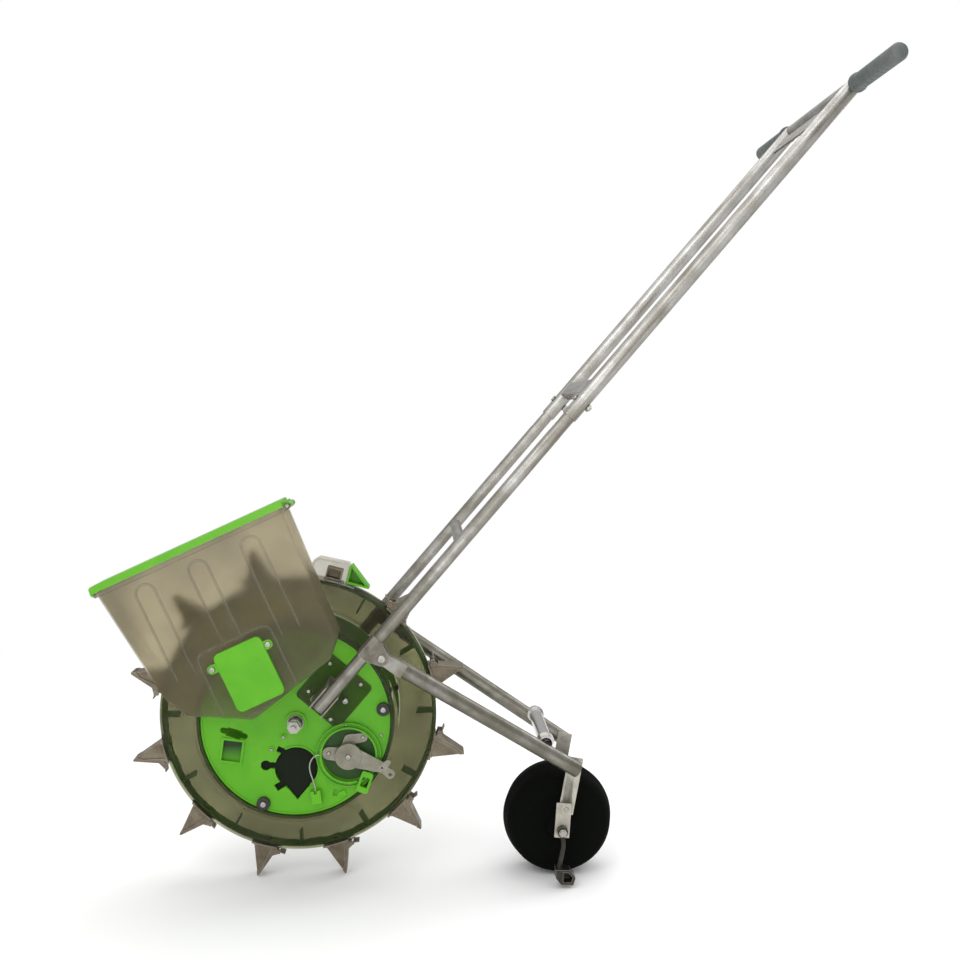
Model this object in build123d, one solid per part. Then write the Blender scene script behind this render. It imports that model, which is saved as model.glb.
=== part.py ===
from build123d import *
import os
from math import cos, sin, tan, radians, degrees, atan2, hypot

# ------------------------------------------------------------------ driving dimensions (mm, degrees)
# The seeder is laid out about its drum axle: X to the rear, Y to the operator's right, Z up.
# The last step moves everything so that the origin is the centre of the footprint on the ground.
RUN = 0.05                     # radial clearance of running fits
GAP = 0.3                      # gap between pieces that only sit next to each other
SEAT = 0.1                     # gap under pieces seated on the round rim

# drum
DRUM_R = 190                   # rim radius
DRUM_RIM_HALF = 18             # half width of the straight rim
DRUM_SHOULDER_R = 173
DRUM_SHOULDER_Y = 24
DRUM_MOUTH_R = 128.5           # inner radius of the mouth that runs on the guide rollers
DRUM_MOUTH_Y = 61
DRUM_FACE_Y = 55               # outer face of the flat ring round the mouth
SHELL_T = 3
LIP_T = 3

# duckbills
BEAK_COUNT = 12
BEAK_PHASE = 15                # angle of the first duckbill
BEAK_TIP_R = 236
BEAK_HALF_BASE = 17
BEAK_HALF_W = 12               # half width of the fixed beak along the axle
BEAK_T = 1.5
BEAK_PLATE_R = DRUM_R + 2      # top of the beak's base plate
BEAK_PIVOT_R = 196.5
BEAK_PIVOT_T = 17.5            # ahead of the beak's centre line
BEAK_PIN_R = 1.5
HOOD_PLACE = 2                 # this place round the rim carries a hood in place of a duckbill
HOOD_SCREWS = [(-12, -15), (12, -15)]

# side discs and guide rollers
DISC_R = 127
DISC_OUT_Y = 54                # outer face
DISC_T = 4
DISC_IN_Y = DISC_OUT_Y - DISC_T
SHEET_T = 1.2                  # thin sheets behind the disc's openings, clear of the ring gear
ROLLER_R = 9
ROLLER_AT_R = 119
ROLLER_ANGLES = (8, 128, 248)
ROLLER_BORE_R = 3
ROLLER_Y = (54.4, 60.4)

# axle
AXLE_R = 5
AXLE_SHOULDER_Y = 82
AXLE_END_Y = 90
AXLE_NECK_R = 4                # turned-down ends, outside the nuts
NUT_AF = 15
SPACER_R = 9

# seed meter, driven by the ring gear inside the drum
GEAR_MODULE = 4
RING_TEETH = 56
PINION_TEETH = 14
METER_CENTRE_R = GEAR_MODULE * (RING_TEETH - PINION_TEETH) / 2
METER_ANGLE = -32.4
GEAR_Y = (42, 48.5)
RING_BODY_R = 133
METER_SHAFT_R = 5
METER_RECESS_R = 37.5
METER_LIP_R = 44
SEED_WHEEL_R = 34
SEED_WHEEL_Y = (16, 38)
SEED_CELLS = 3
CHAMBER_R = 38.5
LEVER_HUB_R = 18

# second meter seat in the left disc
SEAT_X, SEAT_Z, SEAT_R = 0, -63, 29

# handle
HANDLE_ANGLE = 49.15
HANDLE_X, HANDLE_Z = 36, 35    # lower end of the tube axis
HANDLE_Y = 120
LOWER_TUBE_R = 8.7
LOWER_TUBE_T = 1.5
UPPER_TUBE_R = 10
LOWER_TUBE_END = 620
JOINT_AT = 497                 # lower end of the upper tube, along the handle
HANDLE_LENGTH = 1053           # to the handle bar's axis
SLOT_FROM, SLOT_TO = 468, 588
JOINT_BOLT_AT = 522
JOINT_BOLT_R = 3
BRACKET_ANCHORS = (-4, 20)     # screws behind the tube that hold its bracket, along the handle
LOWER_BRACE_AT = 283
UPPER_BRACE_AT = 545
BAR_R = 9
BAR_HALF = 258
GRIP_R = 11
GRIP_FROM = 134

# rear frame
CLAMP_AT = 105                 # middle of the arm clamp, along the handle
CLAMP_LENGTH = 31
CLAMP_R = 10.4
PIVOT_OFF = 19                 # pivot axis below the handle tube's axis
PIVOT_R = 4
ARM_R = 10.5
ARM_TONGUE_R = 7.5
ARM_TONGUE_HALF = 7
ARM_END_X, ARM_END_Z, ARM_END_Y = 381, -68, 70
CROSS_X, CROSS_Z = 337, -28
WHEEL_X, WHEEL_Z = 361, -155
WHEEL_R = 76.5
WHEEL_HALF = 48
WHEEL_AXLE_R = 4
TINE_R = 3.2
FORK_W = 20.5
FORK_T = 3
FORK_IN_Y = 56                 # inner face of the fork hangers
FORK_TOP = (379, -62)
FORK_LAP = (367, -126)

# hopper, drawn in its own tilted outline: p along the rim to the rear, q up
HOPPER_TILT = 24.4
HOPPER_X, HOPPER_Z = -242, 190
HOPPER_W = 259
HOPPER_Y = (-124, -64)
HOPPER_T = 2.2
LID_T = 9
FLUTES = (57, 130, 203)        # raised panels on the hopper's side, along the rim
LID_PIN_R = 2
HINGE_P, HINGE_Q = HOPPER_W + 7, -1
HOPPER_FEET = [(-80, 62), (-15, 92), (26, 98)]      # mounting bosses, in X and Z
HOPPER_FEET_TIP = 62
OUTLET = (-30, 52)             # seed outlet from the hopper to the chute, in X and Z
COVER_P, COVER_Q = 131, -176   # middle of the clean-out cover
COVER_W, COVER_H = 66, 82
COVER_EARS = [(COVER_P - 40, COVER_Q + 25), (COVER_P + 38, COVER_Q + 25)]

# screws, in X and Z or as radius and angle round the meter
DISC_SCREWS = [(-17, -20), (-33, -37)]
EDGE_SCREW = (115, -20)
PLATE_BOLTS = [(47, 4), (18, 43), (47, 80), (88, 51)]
BIG_BOLT = (67, 29)
METER_SCREW_R = 40.6
METER_SCREWS = [-88, -52, -22, 95]
METER_COVER_LEFT = (27, 175)
METER_COVER_UPPER = (30.5, 50.5)
SCREW_HOLE_R = 1.45
M4_HOLE_R, M5_HOLE_R, M6_HOLE_R = 2.05, 2.55, 3.05
METER_COVER_SCREWS = (METER_COVER_LEFT, METER_COVER_UPPER)

PLACE_ANGLES = [BEAK_PHASE + 360 / BEAK_COUNT * i for i in range(BEAK_COUNT)]
HOOD_ANGLE = PLACE_ANGLES[HOOD_PLACE]
BEAK_ANGLES = [a for a in PLACE_ANGLES if a != HOOD_ANGLE]
METER_X = METER_CENTRE_R * cos(radians(METER_ANGLE))
METER_Z = METER_CENTRE_R * sin(radians(METER_ANGLE))
H_DIR = Vector(cos(radians(HANDLE_ANGLE)), 0, sin(radians(HANDLE_ANGLE)))
H_SIDE = Vector(sin(radians(HANDLE_ANGLE)), 0, -cos(radians(HANDLE_ANGLE)))   # below the handle


# ------------------------------------------------------------------ helpers
def slab(outline, y0, y1):
    """Extrude an X-Z outline from y0 to y1."""
    low, high = min(y0, y1), max(y0, y1)
    return extrude(Plane.XZ.offset(-high) * outline, high - low)


def rod(x, z, r, y0, y1, bore=0):
    """Cylinder, or tube when bore is given, along Y."""
    outline = Pos(x, z) * Circle(r)
    if bore:
        outline -= Pos(x, z) * Circle(bore)
    return slab(outline, y0, y1)


def tube(p, q, r, bore=0):
    """Cylinder or tube from point p to point q."""
    start, end = Vector(*p), Vector(*q)
    plane = Plane(origin=start, z_dir=end - start)
    outline = Circle(r)
    if bore:
        outline -= Circle(bore)
    return extrude(plane * outline, (end - start).length)


def on_handle(s, off=0, y=-HANDLE_Y):
    """Point at distance s up the handle, off to its lower side."""
    return Vector(HANDLE_X, y, HANDLE_Z) + H_DIR * s + H_SIDE * off


def handle_plane(s, off=0, y=-HANDLE_Y):
    """Plane whose x runs up the handle and whose normal is -Y."""
    return Plane(origin=on_handle(s, off, y), x_dir=H_DIR, z_dir=(0, -1, 0))


def polar(r, angle):
    return r * cos(radians(angle)), r * sin(radians(angle))


def both(part):
    """The piece and its mirror image on the right side, as one group."""
    return Compound(children=[*part.solids(), *mirror(part, about=Plane.XZ).solids()])


def group(parts):
    return Compound(children=[s for p in parts for s in p.solids()])


def hexagon(across_flats):
    return RegularPolygon(across_flats / 2, 6, major_radius=False)


def pan_screw(x, z, y_seat, head_r=3, head_h=2, shank_r=1.4, shank=6, side=-1):
    """Pan-head screw along Y: the head stands out from y_seat on the given side."""
    head = rod(x, z, head_r, y_seat, y_seat + side * head_h)
    outer_edge = head.edges().sort_by(Axis.Y)[0 if side < 0 else -1]
    head = fillet(outer_edge, head_h * 0.6)
    socket = slab(Pos(x, z) * hexagon(head_r * 0.9), y_seat + side * head_h * 0.5, y_seat + side * head_h)
    return head - socket + rod(x, z, shank_r, y_seat, y_seat - side * shank)


def beak_frame(angle):
    """Turn a duckbill drawn pointing along +X to its place round the drum."""
    return Rot(0, -angle, 0)


# ------------------------------------------------------------------ drum
def drum_profile():
    """Half-shell section in radius (x) and distance from the middle (y)."""
    outer = [(DRUM_R, 0), (DRUM_R, DRUM_RIM_HALF), (DRUM_R - 4, DRUM_RIM_HALF + 4),
             (DRUM_SHOULDER_R, DRUM_SHOULDER_Y), (145, DRUM_FACE_Y - 7), (138, DRUM_FACE_Y),
             (DRUM_MOUTH_R + LIP_T, DRUM_FACE_Y), (DRUM_MOUTH_R + LIP_T, DRUM_MOUTH_Y),
             (DRUM_MOUTH_R, DRUM_MOUTH_Y)]
    inner = [(DRUM_MOUTH_R, DRUM_FACE_Y - SHELL_T), (136, DRUM_FACE_Y - SHELL_T),
             (142, DRUM_FACE_Y - 10), (DRUM_SHOULDER_R - 2, DRUM_SHOULDER_Y - SHELL_T),
             (DRUM_R - 6, DRUM_RIM_HALF), (DRUM_R - SHELL_T, DRUM_RIM_HALF - 2), (DRUM_R - SHELL_T, 0)]
    return make_face(Polyline(*outer, *inner, close=True))


def seed_port(angle):
    """Opening through the rim under one duckbill."""
    x, z = polar(DRUM_R - 8, angle)
    outward = (cos(radians(angle)), 0, sin(radians(angle)))
    return extrude(Plane(origin=(x, 0, z), z_dir=outward) * Circle(8), 14)


def beak_screw_spots():
    """Places of a beak's two screws: (along the rim, along the axle)."""
    return [(-13, -15), (-13, 15)]


def radial_drill(angle, t, y, r, r0, r1):
    """Cylinder along the radius at a beak, offset t along the rim and y along the axle."""
    body = extrude(Plane(origin=(r0, y, t), z_dir=(1, 0, 0)) * Circle(r), r1 - r0)
    return beak_frame(angle) * body


def left_drum_shell():
    shell = mirror(revolve(drum_profile(), Axis.Y), about=Plane.XZ)
    shell = shell - [seed_port(a) for a in BEAK_ANGLES]
    drills = [radial_drill(a, t, y, SCREW_HOLE_R, 180, 194) for a in BEAK_ANGLES
              for t, y in beak_screw_spots() if y < 0]
    drills += [radial_drill(HOOD_ANGLE, t, y, SCREW_HOLE_R, 180, 194) for t, y in HOOD_SCREWS]
    return shell - drills


def right_drum_shell():
    shell = revolve(drum_profile(), Axis.Y)
    shell = shell - [seed_port(a) for a in BEAK_ANGLES]
    drills = [radial_drill(a, t, y, SCREW_HOLE_R, 180, 194) for a in BEAK_ANGLES
              for t, y in beak_screw_spots() if y > 0]
    return shell - drills


def seed_divider():
    """Ring of pockets inside the rim: each pocket leads seed to one duckbill."""
    r_out, r_in, half = DRUM_R - SHELL_T - GAP, 160, 14
    ring = rod(0, 0, r_out, -half, half, bore=r_out - 2.5)
    walls = []
    for a in PLACE_ANGLES:
        wall = Pos((r_in + r_out - 1) / 2, 0, 0) * Box(r_out - 1 - r_in, 2 * half, 2.5)
        walls.append(beak_frame(a + 180 / BEAK_COUNT) * wall)
    ring = ring + walls
    return ring - [seed_port(a) for a in BEAK_ANGLES]


def gear_outline(teeth, r_base, r_far, width_base, width_far):
    """Closed straight-flanked outline: teeth from r_base (wide end) to r_far (narrow end)."""
    points = []
    for i in range(teeth):
        mid = 360 / teeth * i
        for r, width, sign in ((r_base, width_base, -1), (r_far, width_far, -1),
                               (r_far, width_far, 1), (r_base, width_base, 1)):
            points.append(polar(r, mid + sign * degrees(width / 2 / r)))
    return make_face(Polyline(*points, close=True))


def ring_gear():
    """Internal gear: the spaces are cut where the pinion's teeth would be."""
    pitch_r = GEAR_MODULE * RING_TEETH / 2
    space = gear_outline(RING_TEETH, pitch_r - GEAR_MODULE, pitch_r + 1.2 * GEAR_MODULE, 10.6, 4.4)
    turned = Rot(0, 0, METER_ANGLE) * space
    gear = slab(Circle(RING_BODY_R) - Circle(pitch_r - GEAR_MODULE - 0.1) - turned, -GEAR_Y[0], -GEAR_Y[1])
    flange = rod(0, 0, RING_BODY_R, -GEAR_Y[1], -(DRUM_FACE_Y - SHELL_T), bore=DRUM_MOUTH_R + 0.5)
    return gear + flange


def drive_pinion():
    pitch_r = GEAR_MODULE * PINION_TEETH / 2
    teeth = gear_outline(PINION_TEETH, pitch_r - 1.2 * GEAR_MODULE, pitch_r + 0.9 * GEAR_MODULE, 7.6, 3.2)
    outline = Pos(METER_X, METER_Z) * Rot(0, 0, METER_ANGLE) * teeth
    hub = rod(METER_X, METER_Z, 11, -GEAR_Y[0], -GEAR_Y[0] + 1)
    gear = slab(outline, -GEAR_Y[0] - 0.3, -GEAR_Y[1] + 0.3) + hub
    return gear - rod(METER_X, METER_Z, METER_SHAFT_R, -60, -30)


# ------------------------------------------------------------------ duckbills
def fixed_beak():
    """Trailing half of a duckbill with its base plate, pointing along +X."""
    base_r = DRUM_R - 1
    slope = BEAK_HALF_BASE / (BEAK_TIP_R - base_r)
    side = Polyline((base_r, -BEAK_HALF_BASE), (base_r, BEAK_HALF_BASE), (227, (BEAK_TIP_R - 227) * slope),
                    (232, -(BEAK_TIP_R - 232) * slope), close=True)
    ear = Pos(BEAK_PIVOT_R, BEAK_PIVOT_T) * Circle(4)
    body = slab(make_face(side) + ear, -BEAK_HALF_W, BEAK_HALF_W)
    edge = BEAK_T / cos(atan2(BEAK_HALF_BASE, BEAK_TIP_R - base_r)) - BEAK_HALF_BASE
    hollow = Polyline((180, edge - 9 * slope), (250, edge + 61 * slope), (250, 60), (180, 60), close=True)
    body -= slab(make_face(hollow), -BEAK_HALF_W + BEAK_T, BEAK_HALF_W - BEAK_T)
    plate = Pos(DRUM_R, 0, -1) * Box(6, 2 * DRUM_RIM_HALF - 1, 2 * BEAK_HALF_BASE + 2)
    plate -= Pos(BEAK_PLATE_R + 3, 0, 0) * Box(6, 60, 60)
    plate -= seed_port(0)
    plate -= [radial_drill(0, t, y, SCREW_HOLE_R, 180, 194) for t, y in beak_screw_spots()]
    body += plate
    body -= rod(0, 0, DRUM_R + SEAT, -40, 40)
    return body - rod(BEAK_PIVOT_R, BEAK_PIVOT_T, BEAK_PIN_R, -20, 20)


def movable_beak(angle):
    """Leading half: two cheeks, a channel web, and the paddle the ground pushes."""
    base_r = DRUM_R - 1
    lead = atan2(BEAK_HALF_BASE, BEAK_TIP_R - base_r)
    slope = tan(lead)
    inner, outer = 0.6 / cos(lead), 2.1 / cos(lead)

    def edge(r, off):
        return (r, (BEAK_TIP_R - r) * slope + off)

    half = BEAK_HALF_W + GAP + 1.5
    cheek = Polyline((193, 10), (193, 22), (199, 23), edge(204, outer), edge(BEAK_TIP_R, outer),
                     (BEAK_TIP_R + 1, 0), (BEAK_TIP_R - 5, -2.2), (224, 3), close=True)
    body = slab(make_face(cheek), -half, half)
    body -= slab(make_face(cheek), -half + 1.5, half - 1.5)
    web = Polyline(edge(204, inner), edge(204, outer), edge(BEAK_TIP_R, outer), (BEAK_TIP_R + 1, 0),
                   edge(BEAK_TIP_R, -0.2), edge(BEAK_TIP_R - 2, inner), close=True)
    body += slab(make_face(web), -half, half)
    body += slab(make_face(Polyline((198, 21.6), (199.6, 21.6), (200.8, 30), (199.2, 30), close=True)), -8, 8)
    body += slab(make_face(Polyline((198, 21.6), (199.6, 21.6), (200, 23.2), (198.4, 23.2), close=True)),
                 -half, half)
    body -= rod(BEAK_PIVOT_R, BEAK_PIVOT_T, BEAK_PIN_R + RUN, -20, 20)
    return beak_frame(angle) * body


def beak_pin(angle):
    pin = rod(BEAK_PIVOT_R, BEAK_PIVOT_T, BEAK_PIN_R, -15.6, 15.6)
    for side in (-1, 1):
        pin += rod(BEAK_PIVOT_R, BEAK_PIVOT_T, 2.8, side * 14.1, side * 15.6)
    return beak_frame(angle) * pin


def beak_spring(angle):
    """Torsion spring coiled round the pin between the fixed beak's sides."""
    turns, pitch, radius, wire = 6, 1.5, 2.6, 0.5
    path = Helix(pitch, turns * pitch, radius)
    section = Plane(origin=path @ 0, z_dir=path % 0) * Circle(wire)
    coil = sweep(section, path, is_frenet=True)
    coil = Rot(90, 0, 0) * coil
    return beak_frame(angle) * (Pos(BEAK_PIVOT_R, turns * pitch / 2, BEAK_PIVOT_T) * coil)


def beak_screw(angle, t, y):
    """Round-head screw that holds a beak's base plate to the rim."""
    head = extrude(Plane(origin=(BEAK_PLATE_R, y, t), z_dir=(1, 0, 0)) * Circle(2.6), 1.6)
    head = fillet(head.edges().sort_by(Axis.X)[-1], 0.9)
    shank = extrude(Plane(origin=(BEAK_PLATE_R, y, t), z_dir=(-1, 0, 0)) * Circle(1.4), 4.9)
    return beak_frame(angle) * (head + shank)


# ------------------------------------------------------------------ side discs
def disc_outline():
    """Disc with a bay for each guide roller."""
    outline = Circle(DISC_R)
    for a in ROLLER_ANGLES:
        outline -= Pos(*polar(ROLLER_AT_R + 6, a)) * Circle(4)
    return outline


def disc_rim():
    """Low raised rim of the left disc, open where the rollers sit."""
    rim = rod(0, 0, DISC_R, -DISC_OUT_Y - 1.2, -DISC_OUT_Y, bore=DISC_R - 2.5)
    return rim - [rod(*polar(ROLLER_AT_R, a), ROLLER_R + 2, -60, -50) for a in ROLLER_ANGLES]


def hopper_point(p, q):
    a = radians(HOPPER_TILT)
    return HOPPER_X + p * cos(a) - q * sin(a), HOPPER_Z + p * sin(a) + q * cos(a)


def meter_spot(r, angle):
    dx, dz = polar(r, angle)
    return METER_X + dx, METER_Z + dz


def left_disc():
    disc = slab(disc_outline(), -DISC_OUT_Y, -DISC_IN_Y)
    disc += disc_rim()
    # collar and opening of the second meter seat, with its two side lobes
    disc += rod(SEAT_X, SEAT_Z, SEAT_R + 2, -DISC_OUT_Y - 1.5, -DISC_IN_Y)
    disc -= rod(METER_X, METER_Z, METER_LIP_R + GAP, -60, -DISC_OUT_Y)
    seat = Pos(SEAT_X, SEAT_Z) * Circle(SEAT_R)
    lobes = Pos(SEAT_X - 33, SEAT_Z + 4) * Rectangle(14, 9) + Pos(SEAT_X - 41, SEAT_Z + 4) * Circle(7)
    lobes += make_face(Polyline((-16, -86), (19, -86), (1, -107), close=True))
    lobes += Pos(SEAT_X - 22, SEAT_Z - 24) * Rot(0, 0, 30) * Rectangle(14, 10)
    lobes += Pos(SEAT_X - 19, SEAT_Z + 24) * Rot(0, 0, -25) * Rectangle(14, 8)
    disc -= slab(seat + lobes, -60, -45)
    # meter opening, chute opening, pockets and slots
    disc -= rod(METER_X, METER_Z, METER_RECESS_R - 1, -60, -45)
    disc -= slab(Pos(*OUTLET) * Rectangle(30, 26), -60, -45)
    frame = slab(Pos(-86, -38) * Rot(0, 0, -8) * (Rectangle(31, 34) - Rectangle(25, 28)),
                 -DISC_OUT_Y - 2, -DISC_OUT_Y)
    disc += frame
    disc -= slab(Pos(-86, -38) * Rot(0, 0, -8) * Rectangle(25, 28), -60, -45)
    disc += slab(Pos(-86, -38) * Rot(0, 0, -8) * Rectangle(29, 32), -DISC_IN_Y, -DISC_IN_Y + SHEET_T)
    slot = Pos(-83, -14) * Rot(0, 0, -17) * (SlotOverall(38, 8) + Rectangle(20, 12))
    disc -= slab(slot, -60, -45)
    disc -= slab(Pos(52, -98) * Rot(0, 0, -8) * Rectangle(6, 9), -60, -DISC_IN_Y - 0.8)
    disc += slab(Pos(62, -99) * Rot(0, 0, 20) * Rectangle(9, 7), -DISC_OUT_Y - 3, -DISC_OUT_Y)
    # bosses under the small screws
    disc += [rod(x, z, 4.5, -DISC_OUT_Y - 1.5, -DISC_OUT_Y) for x, z in DISC_SCREWS]
    disc -= [rod(x, z, SCREW_HOLE_R, -62, -45) for x, z in [*DISC_SCREWS, EDGE_SCREW]]
    disc -= [rod(x, z, M4_HOLE_R, -60, -45) for x, z in [*PLATE_BOLTS, *bracket_anchors()]]
    disc -= rod(*BIG_BOLT, M6_HOLE_R, -60, -45)
    disc -= [rod(x, z, M4_HOLE_R, -60, -45) for x, z in HOPPER_FEET]
    disc -= [rod(*meter_spot(METER_SCREW_R, a), SCREW_HOLE_R, -60, -45) for a in METER_SCREWS]
    disc -= [rod(*polar(ROLLER_AT_R, a), 2.5, -60, -45) for a in ROLLER_ANGLES]
    disc += rod(0, 0, 15, -DISC_OUT_Y - 3, -DISC_OUT_Y)
    return disc - rod(0, 0, AXLE_R + 0.1, -60, -45)


def right_disc():
    disc = slab(disc_outline(), DISC_IN_Y, DISC_OUT_Y)
    disc += mirror(disc_rim(), about=Plane.XZ)
    for i in range(6):
        rib = Pos(61, DISC_OUT_Y + 1.5, 0) * Box(84, 3, 3)
        disc += Rot(0, -60 * i - 200, 0) * rib
    disc += rod(0, 0, 20, DISC_OUT_Y, DISC_OUT_Y + 3)
    disc += rod(0, 0, 104, DISC_OUT_Y, DISC_OUT_Y + 3, bore=101)
    disc -= slab(handle_pad_outline(), DISC_OUT_Y, DISC_OUT_Y + 6)
    disc -= [rod(x, z, M4_HOLE_R, 45, 60) for x, z in [*PLATE_BOLTS, *bracket_anchors()]]
    disc -= rod(*BIG_BOLT, M6_HOLE_R, 45, 60)
    disc -= [rod(*polar(ROLLER_AT_R, a), 2.5, 45, 60) for a in ROLLER_ANGLES]
    return disc - rod(0, 0, AXLE_R + 0.1, 45, 60)


def guide_roller(angle):
    """Black roller with a groove, one on each side disc; the pair turns together."""
    x, z = polar(ROLLER_AT_R, angle)
    roller = rod(x, z, ROLLER_R, -ROLLER_Y[0], -ROLLER_Y[1], bore=ROLLER_BORE_R + RUN)
    outer = roller.edges().filter_by(GeomType.CIRCLE).sort_by(Axis.Y)[0:2]
    roller = chamfer(outer.sort_by(SortBy.LENGTH)[-1], 0.8)
    return both(roller)


def roller_bolt(angle):
    """Shoulder bolt that a guide roller turns on."""
    x, z = polar(ROLLER_AT_R, angle)
    body = rod(x, z, ROLLER_BORE_R, -DISC_OUT_Y, -ROLLER_Y[1] - 0.3)
    body += rod(x, z, 2.45, -DISC_OUT_Y, -DISC_IN_Y + 1)
    head = rod(x, z, 3.9, -ROLLER_Y[1] - 0.3, -ROLLER_Y[1] - 2.3)
    head = fillet(head.edges().sort_by(Axis.Y)[0], 1.2)
    head -= slab(Pos(x, z) * hexagon(2.5), -ROLLER_Y[1] - 1.4, -ROLLER_Y[1] - 3)
    return both(body + head)


def axle_bolt():
    neck = rod(0, 0, AXLE_NECK_R, -AXLE_END_Y, AXLE_END_Y)
    return rod(0, 0, AXLE_R, -AXLE_SHOULDER_Y, AXLE_SHOULDER_Y) + neck


def axle_nuts():
    """Two nuts and a washer on each end of the axle."""
    nuts = []
    for y in (-DISC_OUT_Y - 5, -AXLE_SHOULDER_Y + 8):
        nut = slab(hexagon(NUT_AF) - Circle(AXLE_R), y, y - 8)
        nuts.append(nut)
    washer = rod(0, 0, 11, -DISC_OUT_Y - 3, -DISC_OUT_Y - 5, bore=AXLE_R)
    sleeve = rod(0, 0, 7, -DISC_OUT_Y - 13, -AXLE_SHOULDER_Y + 9, bore=AXLE_R)
    front = rod(0, 0, 9, -AXLE_SHOULDER_Y + 9, -AXLE_SHOULDER_Y + 8, bore=AXLE_R)
    return both(group([*nuts, washer, sleeve, front]))


def axle_spacer():
    return rod(0, 0, SPACER_R, -DISC_IN_Y, DISC_IN_Y, bore=AXLE_R + 0.1)


# ------------------------------------------------------------------ hood on the rim
def rim_hood():
    """Clear hood on the rim, open on its left side, with a curved floor that is screwed down."""
    wall = 2
    outline = make_face(Polyline((186, 35), (210, 35), (218, 27), (219.5, -16), (186, -16), close=True))
    body = slab(outline, -12.5, 17) - slab(offset(outline, -wall), -20, 17 - wall)
    floor = slab(make_face(Polyline((185, -30), (200, -30), (200, 40), (185, 40), close=True)), -17.5, 17.5)
    floor &= rod(0, 0, BEAK_PLATE_R, -20, 20)
    body += floor
    body -= rod(0, 0, DRUM_R + SEAT, -40, 40)
    body -= [radial_drill(0, t, y, SCREW_HOLE_R, 180, 194) for t, y in HOOD_SCREWS]
    return beak_frame(HOOD_ANGLE) * body


def hood_block():
    """Folded sheet block inside the hood."""
    r0, r1 = BEAK_PLATE_R + 1, BEAK_PLATE_R + 17
    block = slab(Pos((r0 + r1) / 2, 2) * Rectangle(r1 - r0, 22), -12, 6)
    block -= slab(Pos((r0 + r1) / 2, 2) * Rectangle(r1 - r0 - 4, 18), -13, 4)
    return beak_frame(HOOD_ANGLE) * block


def hood_lug():
    """Green wedge behind the hood, hollow from its left side."""
    r = BEAK_PLATE_R + SEAT
    outline = make_face(Polyline((r, -16.6), (216, -16.6), (219, -19.5), (r + 2, -50), (r, -49), close=True))
    lug = slab(outline, -11, 14) - slab(offset(outline, -3), -12, 9)
    lug -= rod(0, 0, BEAK_PLATE_R + SEAT, -40, 40)
    return beak_frame(HOOD_ANGLE) * lug


# ------------------------------------------------------------------ seed meter
def meter_housing():
    """Round front plate in the disc: floor, stepped lip with a gap, and the shaft's bearing."""
    floor = rod(METER_X, METER_Z, METER_RECESS_R - 1.1, -DISC_OUT_Y, -DISC_IN_Y)
    flange = rod(METER_X, METER_Z, METER_LIP_R, -DISC_OUT_Y, -DISC_OUT_Y - 3, bore=METER_RECESS_R - 1.1)
    lip = rod(METER_X, METER_Z, METER_RECESS_R + 1.2, -DISC_OUT_Y, -DISC_OUT_Y - 8, bore=METER_RECESS_R - 1.3)
    step = rod(METER_X, METER_Z, METER_LIP_R, -DISC_OUT_Y - 3, -DISC_OUT_Y - 5.5, bore=METER_LIP_R - 1.6)
    gap = Pos(METER_X, METER_Z) * Rot(0, 0, -40) * Pos(40, 0) * Rectangle(18, 40)
    body = floor + flange + (lip + step - slab(gap, -DISC_OUT_Y - 3, -80))
    body = body & rod(0, 0, DISC_R - 3, -80, -40)
    body += rod(METER_X, METER_Z, 10, -DISC_OUT_Y, -DISC_OUT_Y - 6)
    body -= [rod(*meter_spot(METER_SCREW_R, a), SCREW_HOLE_R, -70, -40) for a in METER_SCREWS]
    body -= [rod(*meter_spot(*spot), SCREW_HOLE_R, -70, -40) for spot in METER_COVER_SCREWS]
    return body - rod(METER_X, METER_Z, METER_SHAFT_R + RUN, -70, -40)


def seed_chamber():
    """Drum-side cup round the seed wheel, on three posts behind the front plate."""
    y_in, y_out = -SEED_WHEEL_Y[0] + 3, -SEED_WHEEL_Y[1] - 2.5
    cup = rod(METER_X, METER_Z, CHAMBER_R, y_out, y_in)
    cup -= rod(METER_X, METER_Z, SEED_WHEEL_R + 1, -SEED_WHEEL_Y[1] - 0.5, -SEED_WHEEL_Y[0] + 0.5)
    inward = METER_ANGLE + 180
    for a in (inward - 70, inward, inward + 70):
        cup += rod(*meter_spot(36.5, a), 3.2, -DISC_IN_Y, y_out + 0.5)
    inlet = Pos(METER_X, METER_Z) * Rot(0, 0, 118) * Pos(SEED_WHEEL_R + 3, 0) * Rectangle(12, 22)
    outlet = Pos(METER_X, METER_Z) * Rot(0, 0, METER_ANGLE - 60) * Pos(SEED_WHEEL_R + 3, 0) * Rectangle(12, 20)
    cup -= slab(inlet + outlet, -SEED_WHEEL_Y[1] + 1, -SEED_WHEEL_Y[0] - 1)
    return cup - rod(METER_X, METER_Z, METER_SHAFT_R + RUN, -60, 0)


def seat_blank():
    """Thin sheet behind the left disc that closes the second meter seat, held by the small screws."""
    outline = Pos(SEAT_X, SEAT_Z) * Circle(SEAT_R + 3.5) + Pos(SEAT_X - 35, SEAT_Z + 4) * Rectangle(32, 22)
    outline += make_face(Polyline((-36, -80), (26, -84), (1, -110), (-33, -101), close=True))
    outline += Pos(-20, -38) * Rectangle(28, 22)
    ears = [(Pos(x, z) * Circle(5)).edges() for x, z in DISC_SCREWS]
    outline += make_hull(ears[0] + ears[1] + (Pos(-14, -44) * Circle(8)).edges())
    sheet = slab(outline, -DISC_IN_Y, -DISC_IN_Y + SHEET_T)
    return sheet - [rod(x, z, SCREW_HOLE_R, -60, -45) for x, z in DISC_SCREWS]


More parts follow.
